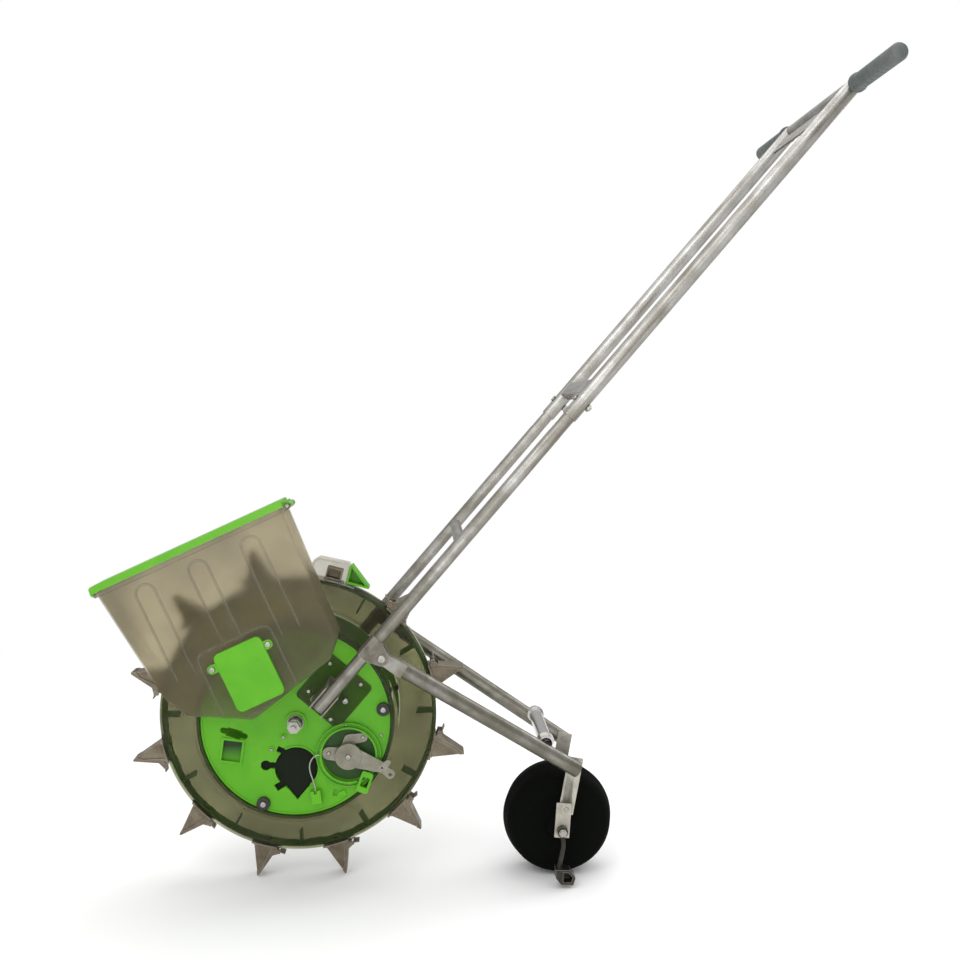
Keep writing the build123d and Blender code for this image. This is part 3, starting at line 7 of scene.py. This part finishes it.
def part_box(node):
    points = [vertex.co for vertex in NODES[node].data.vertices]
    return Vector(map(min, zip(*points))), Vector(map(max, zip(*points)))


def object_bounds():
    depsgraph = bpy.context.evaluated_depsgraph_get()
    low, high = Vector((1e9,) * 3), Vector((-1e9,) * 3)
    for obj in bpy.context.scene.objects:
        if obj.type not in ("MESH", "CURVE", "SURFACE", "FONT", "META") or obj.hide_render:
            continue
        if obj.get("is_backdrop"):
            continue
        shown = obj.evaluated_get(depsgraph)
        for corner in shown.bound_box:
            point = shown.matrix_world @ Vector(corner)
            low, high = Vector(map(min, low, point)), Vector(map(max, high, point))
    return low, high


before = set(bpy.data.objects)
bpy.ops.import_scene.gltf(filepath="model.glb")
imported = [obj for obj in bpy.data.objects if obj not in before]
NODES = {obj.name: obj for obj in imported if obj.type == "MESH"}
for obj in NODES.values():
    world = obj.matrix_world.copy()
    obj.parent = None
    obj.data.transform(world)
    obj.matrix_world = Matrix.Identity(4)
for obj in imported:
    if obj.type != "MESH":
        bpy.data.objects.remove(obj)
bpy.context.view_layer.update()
MM = 0.001

# Streaks and drawn lines follow the tubes.
tube_low, tube_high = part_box("lower_tubes")
HANDLE_ANGLE = math.atan2(tube_high.z - tube_low.z, tube_high.x - tube_low.x)
REAR_ARM_SLOPE = math.radians(33.7)
drum_low, drum_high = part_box("left_drum_shell")
DRUM = Vector(((drum_low.x + drum_high.x) / 2, 0, (drum_low.z + drum_high.z) / 2))
meter_low, meter_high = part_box("seed_wheel")
METER = (meter_low + meter_high) / 2

TUBE_DARKEN_TOP, TUBE_DARKEN_LOW = 0.82, 0.34         # heights between which the tubes grow darker towards the bottom, in patches
SHEET_STAIN = (0.10, 0.065, 0.035)
WORN_STEEL = (0.62, 0.58, 0.50)
DUST_ON_GREEN = (0.30, 0.33, 0.14)
METER_WELL_R = 0.0362          # inside the lip of the meter's front plate; painted shade fills this circle
POCKET_FLOOR = DRUM + Vector((-0.086, -0.050, -0.038))      # the square pocket in the left disc, painted with shadow under its top edge
POCKET_REACH = 0.0195          # from its middle to its corners


# ------------------------------------------------------------------ material helpers
class Nodes:
    """A material's node tree with short calls for the nodes used here."""

    def __init__(self, name):
        self.material = bpy.data.materials.new(name)
        self.material.use_nodes = True
        self.tree = self.material.node_tree
        self.tree.nodes.clear()
        self.out = self.add("ShaderNodeOutputMaterial")
        self.coords = self.add("ShaderNodeTexCoord").outputs["Object"]

    def add(self, kind, **values):
        node = self.tree.nodes.new(kind)
        for key, value in values.items():
            setattr(node, key, value)
        return node

    def link(self, source, target):
        self.tree.links.new(source, target)

    def feed(self, socket, value):
        """Link an output to a socket, or set the socket to a plain value."""
        if hasattr(value, "is_output"):
            self.link(value, socket)
        elif isinstance(value, tuple) and len(value) == 3 and socket.type == "RGBA":
            socket.default_value = (*value, 1)
        else:
            socket.default_value = value

    def put(self, node, **inputs):
        for key, value in inputs.items():
            self.feed(node.inputs[key.replace("_", " ")], value)
        return node

    def mapped(self, scale=(1, 1, 1), turn=(0, 0, 0)):
        """Object coordinates, turned and then scaled."""
        spun = self.add("ShaderNodeMapping")
        self.put(spun, Vector=self.coords, Rotation=turn)
        sized = self.add("ShaderNodeMapping")
        self.put(sized, Vector=spun.outputs[0], Scale=scale)
        return sized.outputs[0]

    def noise(self, scale, detail=4.0, rough=0.55, vector=None, distortion=0.0):
        node = self.add("ShaderNodeTexNoise")
        self.put(node, Vector=vector or self.coords, Scale=scale, Detail=detail, Roughness=rough,
                 Distortion=distortion)
        return node.outputs["Fac"]

    def spread(self, fac, low, high, to_low, to_high):
        """Map fac from low..high to to_low..to_high, clamped."""
        node = self.add("ShaderNodeMapRange")
        self.put(node, Value=fac, From_Min=low, From_Max=high, To_Min=to_low, To_Max=to_high)
        return node.outputs[0]

    def math(self, kind, a, b=0.0):
        node = self.add("ShaderNodeMath", operation=kind)
        for socket, value in zip(node.inputs, (a, b)):
            self.feed(socket, value)
        return node.outputs[0]

    def mix(self, fac, a, b):
        """Colour a where fac is 0, colour b where it is 1."""
        node = self.add("ShaderNodeMix", data_type="RGBA")
        for socket, value in zip((node.inputs[0], node.inputs[6], node.inputs[7]), (fac, a, b)):
            self.feed(socket, value)
        return node.outputs[2]

    def bump(self, height, strength, distance=0.0005, normal=None):
        node = self.add("ShaderNodeBump")
        self.put(node, Height=height, Strength=strength, Distance=distance)
        if normal is not None:
            self.link(normal, node.inputs["Normal"])
        return node.outputs[0]

    def edge_wear(self, radius=0.0012):
        """About 1 on sharp outer edges and 0 on flats."""
        rounded = self.add("ShaderNodeBevel", samples=4)
        self.put(rounded, Radius=radius)
        geometry = self.add("ShaderNodeNewGeometry")
        dot = self.add("ShaderNodeVectorMath", operation="DOT_PRODUCT")
        self.link(rounded.outputs[0], dot.inputs[0])
        self.link(geometry.outputs["Normal"], dot.inputs[1])
        return self.spread(dot.outputs["Value"], 0.985, 0.85, 0.0, 1.0)

    def place(self, axis):
        """One coordinate, X, Y or Z, in metres."""
        split = self.add("ShaderNodeSeparateXYZ")
        self.link(self.coords, split.inputs[0])
        return split.outputs[axis]

    def distance_from(self, centre):
        """Distance, in metres, from a line through a point along Y."""
        flat = self.add("ShaderNodeVectorMath", operation="MULTIPLY")
        self.link(self.coords, flat.inputs[0])
        flat.inputs[1].default_value = (1, 0, 1)
        away = self.add("ShaderNodeVectorMath", operation="DISTANCE")
        self.link(flat.outputs[0], away.inputs[0])
        away.inputs[1].default_value = (centre.x, 0, centre.z)
        return away.outputs["Value"]

    def facing_down(self):
        """1 where the surface looks down and 0 where it looks sideways or up."""
        geometry = self.add("ShaderNodeNewGeometry")
        split = self.add("ShaderNodeSeparateXYZ")
        self.link(geometry.outputs["Normal"], split.inputs[0])
        return self.spread(split.outputs["Z"], -0.25, -0.75, 0.0, 1.0)

    def blend(self, fac, first, second):
        """Shader first where fac is 0, shader second where it is 1."""
        node = self.add("ShaderNodeMixShader")
        for socket, value in zip(node.inputs, (fac, first, second)):
            self.feed(socket, value)
        return node.outputs[0]

    def principled(self, **inputs):
        shader = self.add("ShaderNodeBsdfPrincipled")
        self.put(shader, **inputs)
        return shader.outputs[0]

    def done(self, shader):
        self.link(shader, self.out.inputs["Surface"])
        return self.material


def scaled(colour, by):
    return tuple(min(1, by * v) for v in colour)


# ------------------------------------------------------------------ materials
def galvanised(name, turn, tone=1.0):
    """Zinc-coated tube: fine drawn lines along the tube, cloudy spangle, stains and dull patches,
    painted shade on the underside, and cloudy darkening towards the bottom.
    """
    n = Nodes(name)
    along = n.mapped(scale=(6, 260, 260), turn=turn)
    lines = n.noise(3.0, 5, 0.6, along)
    streaks = n.noise(1.0, 3, 0.5, n.mapped(scale=(9, 90, 90), turn=turn))
    clouds = n.noise(26, 5, 0.6)
    specks = n.noise(420, 2, 0.6)
    light = scaled((0.56, 0.555, 0.54), tone)
    dull = scaled((0.36, 0.345, 0.31), tone)
    base = n.mix(n.spread(clouds, 0.35, 0.68, 0, 1), light, dull)
    base = n.mix(n.spread(streaks, 0.5, 0.70, 0, 0.85), base, scaled((0.22, 0.20, 0.165), tone))
    base = n.mix(n.spread(specks, 0.66, 0.74, 0, 0.7), base, (0.10, 0.08, 0.06))
    # painted shade: surfaces that face down are darkened brown, as if shaded from the light above
    base = n.mix(n.math("MULTIPLY", n.facing_down(), 0.8), base, (0.11, 0.09, 0.06))
    # the tubes are darkened in cloudy patches, more towards the bottom
    low_down = n.spread(n.place("Z"), TUBE_DARKEN_TOP, TUBE_DARKEN_LOW, 0, 1)
    grime = n.math("MULTIPLY", low_down, n.spread(clouds, 0.25, 0.6, 0.45, 0.92))
    base = n.mix(grime, base, (0.14, 0.13, 0.10))
    rough = n.math("ADD", n.spread(clouds, 0.3, 0.7, 0.27, 0.42), n.spread(lines, 0.4, 0.7, 0, 0.12))
    normal = n.bump(lines, 0.16, 0.0003, n.bump(clouds, 0.10, 0.0012))
    return n.done(n.principled(Base_Color=base, Metallic=0.92, Roughness=rough, Normal=normal))


def plated_sheet(name, light, dark, rough=0.42, metallic=0.85):
    """Brown-grey plated steel sheet, mottled, with bright worn edges and patches of soil."""
    n = Nodes(name)
    clouds = n.noise(55, 6, 0.62)
    grain = n.noise(900, 2, 0.5)
    scratches = n.noise(8, 3, 0.5, n.mapped(scale=(120, 8, 14), turn=(0.3, 0.5, 0.2)))
    base = n.mix(n.spread(clouds, 0.34, 0.66, 0, 1), light, dark)
    base = n.mix(n.spread(scratches, 0.60, 0.72, 0, 0.45), base, scaled(light, 1.7))
    stain = n.noise(17, 5, 0.7, distortion=0.6)
    base = n.mix(n.spread(stain, 0.58, 0.72, 0, 0.6), base, SHEET_STAIN)
    base = n.mix(n.math("MULTIPLY", n.edge_wear(), 0.55), base, WORN_STEEL)
    roughness = n.math("ADD", n.spread(clouds, 0.3, 0.7, rough - 0.08, rough + 0.12),
                       n.spread(grain, 0.4, 0.6, 0, 0.05))
    normal = n.bump(grain, 0.12, 0.0002, n.bump(clouds, 0.12, 0.0008))
    return n.done(n.principled(Base_Color=base, Metallic=metallic, Roughness=roughness, Normal=normal))


def green_plastic(name, colour, shade, rough=0.34, well=None, pocket=None):
    """Moulded green plastic: flow marks, fine texture, dust and scuffs; a well is a round recess filled
    with painted shade.

    A pocket is a deep square recess, given by its floor's middle and its reach: painted shadow under its
    top edge.
    """
    n = Nodes(name)
    flow = n.noise(14, 4, 0.5, distortion=0.8)
    fine = n.noise(1500, 2, 0.5)
    dust = n.noise(60, 6, 0.7)
    scuffs = n.noise(10, 3, 0.6, n.mapped(scale=(14, 60, 5), turn=(0.1, 0.7, 0.4)))
    base = n.mix(n.spread(flow, 0.3, 0.7, 0, 1), colour, shade)
    base = n.mix(n.spread(dust, 0.58, 0.78, 0, 0.32), base, DUST_ON_GREEN)
    pale_edge = tuple(min(1, v * 1.6 + 0.03) for v in colour)
    base = n.mix(n.math("MULTIPLY", n.edge_wear(0.0008), 0.30), base, pale_edge)
    if well:
        centre, radius = well
        # painted shade: the inside of the round recess is darkened nearly black
        inside = n.spread(n.distance_from(centre), radius, radius - 0.0015, 0, 0.88)
        base = n.mix(inside, base, (0.006, 0.02, 0.003))
    # painted shadow: the pocket's floor is darkened nearly black under its top edge, fading towards the
    # bottom
    if pocket:
        centre, reach = pocket
        deep = n.spread(n.place("Y"), centre.y - 0.0035, centre.y - 0.0003, 0, 1)
        inside = n.spread(n.distance_from(centre), reach, reach - 0.0005, 0, 1)
        under = n.spread(n.place("Z"), centre.z - 0.015, centre.z + 0.006, 0.05, 0.96)
        shadow = n.math("MULTIPLY", n.math("MULTIPLY", deep, inside), under)
        base = n.mix(shadow, base, (0.004, 0.022, 0.003))
    roughness = n.math("ADD", n.spread(dust, 0.45, 0.75, rough, rough + 0.25),
                       n.spread(scuffs, 0.6, 0.7, 0, 0.12))
    normal = n.bump(fine, 0.06, 0.0001, n.bump(flow, 0.08, 0.0010))
    shader = n.principled(Base_Color=base, Roughness=roughness, Normal=normal, IOR=1.5,
                          Specular_IOR_Level=0.28, Subsurface_Weight=0.06,
                          Subsurface_Radius=(0.002, 0.004, 0.001))
    return n.done(shader)


def smoked_plastic(name, tint, body, cover, haze, blur=0.3, line=0.0):
    """Smoked clear plastic: tinted sheet that blurs what is behind it, dusty and scratched on top.

    tint filters what shows through, body is the skin's own colour, cover is how much the skin hides,
    haze adds to it where the sheet is seen on edge, and line sets how much painted shade darkens its
    folded edges.
    """
    n = Nodes(name)
    clouds = n.noise(9, 5, 0.6, distortion=0.4)
    dust = n.noise(120, 6, 0.75)
    scratches = n.noise(9, 3, 0.55, n.mapped(scale=(4, 30, 90), turn=(0.2, 0.35, 0.1)))
    waves = n.noise(30, 3, 0.5)
    colour = n.mix(n.spread(clouds, 0.35, 0.65, 0, 1), tint, scaled(tint, 0.86))
    frosted = n.add("ShaderNodeBsdfRefraction")
    n.put(frosted, Color=colour, Roughness=blur, IOR=1.12)
    clear = n.add("ShaderNodeBsdfTransparent")
    n.put(clear, Color=colour)
    path = n.add("ShaderNodeLightPath")
    through = n.blend(path.outputs["Is Camera Ray"], clear.outputs[0], frosted.outputs[0])
    skin = n.mix(n.spread(dust, 0.5, 0.75, 0, 0.7), body, scaled(body, 1.5))
    # painted shade: dark lines along the folded edges and flutes, standing in for the darkening a clear
    # sheet shows there
    lines = n.math("MULTIPLY", n.edge_wear(0.0022), line)
    skin = n.mix(lines, skin, (0.035, 0.033, 0.022))
    rough = n.math("ADD", n.spread(dust, 0.4, 0.7, 0.14, 0.34), n.spread(scratches, 0.58, 0.7, 0, 0.2))
    normal = n.bump(waves, 0.08, 0.0010, n.bump(scratches, 0.05, 0.0002))
    solid = n.principled(Base_Color=skin, Roughness=rough, Normal=normal, IOR=1.58)
    facing = n.add("ShaderNodeLayerWeight")
    n.put(facing, Blend=0.35, Normal=normal)
    density = n.spread(clouds, 0.3, 0.7, cover - 0.06, cover + 0.06)
    density = n.math("ADD", density, n.math("MULTIPLY", facing.outputs["Facing"], haze))
    density = n.math("ADD", density, n.spread(dust, 0.6, 0.8, 0, 0.18))
    density = n.math("ADD", density, lines)
    density = n.math("MINIMUM", density, 0.97)
    lit = n.add("ShaderNodeBsdfTransparent")
    n.put(lit, Color=(0.94, 0.93, 0.90))
    sheet = n.blend(density, through, solid)
    return n.done(n.blend(path.outputs["Is Shadow Ray"], sheet, lit.outputs[0]))


def rubber(name, colour, dusty, rough=0.62, soil=0.25, gloss=0.4):
    """Moulded rubber or black plastic with a dull skin, soil in the texture and rubbed high spots."""
    n = Nodes(name)
    fine = n.noise(700, 3, 0.6)
    patch = n.noise(22, 5, 0.65, distortion=0.5)
    base = n.mix(n.spread(patch, 0.42, 0.72, 0, soil), colour, dusty)
    base = n.mix(n.math("MULTIPLY", n.edge_wear(0.0015), 0.35), base, dusty)
    roughness = n.spread(patch, 0.3, 0.7, rough - 0.1, rough + 0.14)
    normal = n.bump(fine, 0.25, 0.0003, n.bump(patch, 0.12, 0.0012))
    return n.done(n.principled(Base_Color=base, Roughness=roughness, Normal=normal,
                               Specular_IOR_Level=gloss))


def cast_metal(name):
    """Grey die-cast zinc: dull, slightly pitted, with dark soil in the pits and pale worn edges."""
    n = Nodes(name)
    pits = n.noise(330, 3, 0.6)
    patch = n.noise(45, 5, 0.6)
    base = n.mix(n.spread(patch, 0.35, 0.68, 0, 1), (0.25, 0.24, 0.19), (0.175, 0.165, 0.125))
    base = n.mix(n.spread(pits, 0.66, 0.74, 0, 0.7), base, (0.10, 0.085, 0.06))
    base = n.mix(n.math("MULTIPLY", n.edge_wear(0.0010), 0.5), base, (0.60, 0.58, 0.52))
    normal = n.bump(pits, 0.22, 0.0004, n.bump(patch, 0.12, 0.0010))
    roughness = n.spread(patch, 0.3, 0.7, 0.42, 0.58)
    return n.done(n.principled(Base_Color=base, Metallic=0.55, Roughness=roughness, Normal=normal))


def bright_metal(name, colour, rough, soil=0.35):
    """Plated fastener or polished tube with faint turning marks and a little grime."""
    n = Nodes(name)
    marks = n.noise(160, 3, 0.6)
    grime = n.noise(75, 5, 0.7)
    base = n.mix(n.spread(grime, 0.56, 0.74, 0, soil), colour, (0.16, 0.13, 0.09))
    roughness = n.math("ADD", n.spread(marks, 0.3, 0.7, rough - 0.04, rough + 0.08),
                       n.spread(grime, 0.5, 0.7, 0, 0.15))
    normal = n.bump(marks, 0.08, 0.0002)
    return n.done(n.principled(Base_Color=base, Metallic=1.0, Roughness=roughness, Normal=normal))


HANDLE_TURN = (0, HANDLE_ANGLE, 0)
ACROSS_TURN = (0, 0, math.radians(90))
ARM_TURN = (0, -REAR_ARM_SLOPE, 0)
GREEN, GREEN_SHADE = (0.105, 0.40, 0.007), (0.075, 0.335, 0.005)
MATERIALS = {
    "tube": galvanised("galvanised_tube", HANDLE_TURN),
    "cross": galvanised("galvanised_cross", ACROSS_TURN, 0.9),
    "arm": galvanised("galvanised_arm", ARM_TURN, 0.92),
    "plate": plated_sheet("galvanised_plate", (0.46, 0.44, 0.39), (0.33, 0.31, 0.26)),
    "sheet": plated_sheet("brown_grey_sheet", (0.20, 0.17, 0.125), (0.125, 0.104, 0.072)),
    "bracket": plated_sheet("bracket_steel", (0.19, 0.18, 0.15), (0.115, 0.105, 0.085), 0.45),
    "green": green_plastic("green_plastic", GREEN, GREEN_SHADE),
    "disc": green_plastic("disc_green", GREEN, GREEN_SHADE, pocket=(POCKET_FLOOR, POCKET_REACH)),
    "lid": green_plastic("lid_green", (0.125, 0.42, 0.017), (0.098, 0.365, 0.011), 0.30),
    "dark_green": green_plastic("dark_green_plastic", (0.045, 0.20, 0.012), (0.028, 0.14, 0.008), 0.4),
    "smoked": smoked_plastic("smoked_drum_plastic", (0.70, 0.70, 0.585), (0.090, 0.082, 0.05),
                             cover=0.08, haze=0.16, blur=0.2, line=0.5),
    "smoked_hopper": smoked_plastic("smoked_hopper_plastic", (0.868, 0.838, 0.755), (0.26, 0.24, 0.165),
                                    cover=0.10, haze=0.15, blur=0.62, line=0.75),
    "clear": smoked_plastic("clear_hood_plastic", (0.93, 0.92, 0.88), (0.55, 0.53, 0.47),
                            cover=0.16, haze=0.3),
    "rubber": rubber("black_rubber", (0.0022, 0.0028, 0.0022), (0.006, 0.007, 0.006), 0.8, 0.2, 0.04),
    "meter": green_plastic("meter_green", (0.095, 0.37, 0.007), (0.07, 0.31, 0.005), 0.36,
                           well=(METER, METER_WELL_R)),
    # painted shade: the seed chamber is coloured near-black so the star openings read as the shadowed
    # inside of the drum
    "shadow": rubber("dark_moulding", (0.006, 0.010, 0.005), (0.012, 0.016, 0.008), 0.7, 0.2, 0.15),
    "blackened": plated_sheet("blackened_steel", (0.055, 0.052, 0.045), (0.03, 0.028, 0.024), 0.38),
    "soiled": plated_sheet("soiled_steel", (0.20, 0.175, 0.13), (0.12, 0.10, 0.07), 0.4),
    "grip": rubber("grey_grip_rubber", (0.085, 0.100, 0.100), (0.20, 0.21, 0.20), 0.55, 0.5),
    "black": rubber("black_plastic", (0.010, 0.011, 0.011), (0.05, 0.05, 0.045), 0.4, 0.4),
    "cast": cast_metal("cast_grey_metal"),
    "zinc": bright_metal("zinc_fastener", (0.36, 0.35, 0.32), 0.32),
    "chrome": bright_metal("bright_tube", (0.52, 0.51, 0.49), 0.18, 0.35),
    "spring": bright_metal("spring_wire", (0.36, 0.36, 0.35), 0.35),
}

NODE_MATERIALS = {
    "tube": ["lower_tubes", "upper_tubes"],
    "cross": ["lower_brace", "upper_brace", "handle_bar", "handle_gusset", "axle_spacer"],
    "arm": ["rear_arms"],
    "plate": ["fork_plates"],
    "sheet": ["fixed_beaks"] + [n for n in NODES if n.startswith("movable_beak")],
    "bracket": ["handle_brackets", "arm_clamps"],
    "disc": ["left_disc"],
    "green": ["right_disc", "seed_brush", "housing_latch", "outlet_cover", "seed_chute", "hood_lug"],
    "lid": ["hopper_lid"],
    "dark_green": ["seed_divider", "ring_gear"],
    "meter": ["meter_housing"],
    "shadow": ["seed_chamber"],
    "soiled": ["beak_fasteners", "beak_springs"],
    "blackened": ["cover_tines"],
    "smoked": ["left_drum_shell", "right_drum_shell", "handle_pads"],
    "smoked_hopper": ["hopper_body"],
    "clear": ["rim_hood"],
    "rubber": ["press_wheel"],
    "grip": ["handle_grips"],
    "black": ["guide_roller_1", "guide_roller_2", "guide_roller_3", "seed_wheel", "drive_pinion"],
    "cast": ["meter_lever", "meter_cover"],
    "zinc": ["small_screws", "frame_bolts", "axle_bolt", "joint_bolts", "fork_bolts", "wheel_axle"],
    "chrome": ["cross_tube"],
    "spring": ["brush_spring_wire"],
}

# rounding of edges, in millimetres, by material
BEVEL = 0.35
BEVELS = {"smoked": 0.8, "smoked_hopper": 0.9, "rubber": 1.0, "lid": 0.6, "green": 0.4, "disc": 0.4,
          "zinc": 0.25, "spring": 0}
BEVEL_FROM = math.radians(32)


def dress(node, key):
    """Give a CAD node its material and softly rounded edges, with its shape unchanged."""
    obj = NODES[node]
    obj.data.materials.clear()
    obj.data.materials.append(MATERIALS[key])
    normals = obj.data.attributes.get("custom_normal")
    if normals is not None:
        obj.data.attributes.remove(normals)
    for polygon in obj.data.polygons:
        polygon.use_smooth = True
        polygon.material_index = 0
    weld = obj.modifiers.new("weld", "WELD")
    weld.merge_threshold = 0.00001
    width = BEVELS.get(key, BEVEL)
    if width:
        bevel = obj.modifiers.new("round_edges", "BEVEL")
        bevel.width = width * MM
        bevel.segments = 2
        bevel.limit_method = "ANGLE"
        bevel.angle_limit = BEVEL_FROM
        bevel.harden_normals = False
        bevel.use_clamp_overlap = True
    even = obj.modifiers.new("even_normals", "WEIGHTED_NORMAL")
    even.keep_sharp = True
    even.weight = 100


for key, names in NODE_MATERIALS.items():
    for name in names:
        dress(name, key)


# ------------------------------------------------------------------ floor, light and camera
def area_light(name, place, aim, size, power):
    data = bpy.data.lights.new(name, "AREA")
    data.shape = "RECTANGLE"
    data.size, data.size_y = size
    data.energy = power
    lamp = bpy.data.objects.new(name, data)
    bpy.context.scene.collection.objects.link(lamp)
    lamp.location = place
    lamp.rotation_euler = (Vector(aim) - Vector(place)).to_track_quat("-Z", "Y").to_euler()


def floor_material():
    """Pale matt floor that glows white far from the object, so that it meets the background."""
    n = Nodes("pale_floor")
    clouds = n.noise(1.5, 4, 0.5)
    base = n.mix(n.spread(clouds, 0.3, 0.7, 0, 1), (0.92, 0.92, 0.92), (0.90, 0.90, 0.90))
    matt = n.principled(Base_Color=base, Roughness=0.85, Specular_IOR_Level=0.1)
    glow = n.add("ShaderNodeEmission")
    away = n.add("ShaderNodeVectorMath", operation="LENGTH")
    n.link(n.coords, away.inputs[0])
    far = n.spread(away.outputs["Value"], 0.75, 1.9, 0, 1)
    path = n.add("ShaderNodeLightPath")
    return n.done(n.blend(n.math("MULTIPLY", far, path.outputs["Is Camera Ray"]), matt, glow.outputs[0]))


def floor():
    mesh = bpy.data.meshes.new("floor")
    half = 12
    corners = [(-half, -half, 0), (half, -half, 0), (half, half, 0), (-half, half, 0)]
    mesh.from_pydata(corners, [], [(0, 1, 2, 3)])
    obj = bpy.data.objects.new("floor", mesh)
    bpy.context.scene.collection.objects.link(obj)
    mesh.materials.append(floor_material())
    obj.location.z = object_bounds()[0][2] - 0.0005
    obj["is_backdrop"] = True


def world_light():
    """White to the camera; to everything else a studio that is bright above and darker at the sides."""
    world = bpy.data.worlds.new("studio")
    bpy.context.scene.world = world
    world.use_nodes = True
    tree = world.node_tree
    background = tree.nodes["Background"]
    coords = tree.nodes.new("ShaderNodeTexCoord")
    split = tree.nodes.new("ShaderNodeSeparateXYZ")
    ramp = tree.nodes.new("ShaderNodeValToRGB")
    level = tree.nodes.new("ShaderNodeMapRange")
    level.inputs["From Min"].default_value = -1
    tree.links.new(coords.outputs["Generated"], split.inputs[0])
    tree.links.new(split.outputs["Z"], level.inputs["Value"])
    tree.links.new(level.outputs[0], ramp.inputs["Fac"])
    stops = [(0.0, 0.42), (0.47, 0.30), (0.60, 0.55), (1.0, 1.0)]
    while len(ramp.color_ramp.elements) < len(stops):
        ramp.color_ramp.elements.new(0.5)
    for element, (place, bright) in zip(ramp.color_ramp.elements, stops):
        element.position = place
        element.color = (bright, bright, bright, 1)
    path = tree.nodes.new("ShaderNodeLightPath")
    choose = tree.nodes.new("ShaderNodeMix")
    choose.data_type = "RGBA"
    choose.inputs[7].default_value = (1, 1, 1, 1)
    tree.links.new(path.outputs["Is Camera Ray"], choose.inputs[0])
    tree.links.new(ramp.outputs["Color"], choose.inputs[6])
    tree.links.new(choose.outputs[2], background.inputs["Color"])
    background.inputs["Strength"].default_value = 1.0


CAMERA_FROM_DRUM = Vector((0.174, -1.5378, 0.4234))
YAW, PITCH, ROLL = math.radians(2.93), math.radians(3.74), math.radians(0.15)
LENS, SENSOR = 41.57, 36


def camera():
    """The view from the user's left side, a little above the drum and turned slightly to the rear."""
    data = bpy.data.cameras.new("camera")
    data.lens = LENS
    data.sensor_width = SENSOR
    obj = bpy.data.objects.new("camera", data)
    bpy.context.scene.collection.objects.link(obj)
    obj.location = DRUM + CAMERA_FROM_DRUM
    aim = Matrix.Rotation(-YAW, 4, "Z") @ Matrix.Rotation(math.radians(90) - PITCH, 4, "X")
    obj.rotation_euler = (aim @ Matrix.Rotation(-ROLL, 4, "Z")).to_euler()
    bpy.context.scene.camera = obj


floor()
world_light()
area_light("key", (-1.2, -1.8, 2.6), (0, 0, 0.4), (2.2, 1.6), 26)
area_light("front", (-0.2, -2.8, 0.8), (-0.1, 0, 0.35), (2.4, 1.6), 22)
area_light("top", (0.5, 0.6, 3.0), (0, 0, 0.4), (2.5, 2.5), 30)
area_light("rim", (2.2, 1.2, 1.6), (0, 0, 0.5), (1.2, 1.8), 16)
camera()
bpy.context.scene.view_settings.view_transform = "Standard"
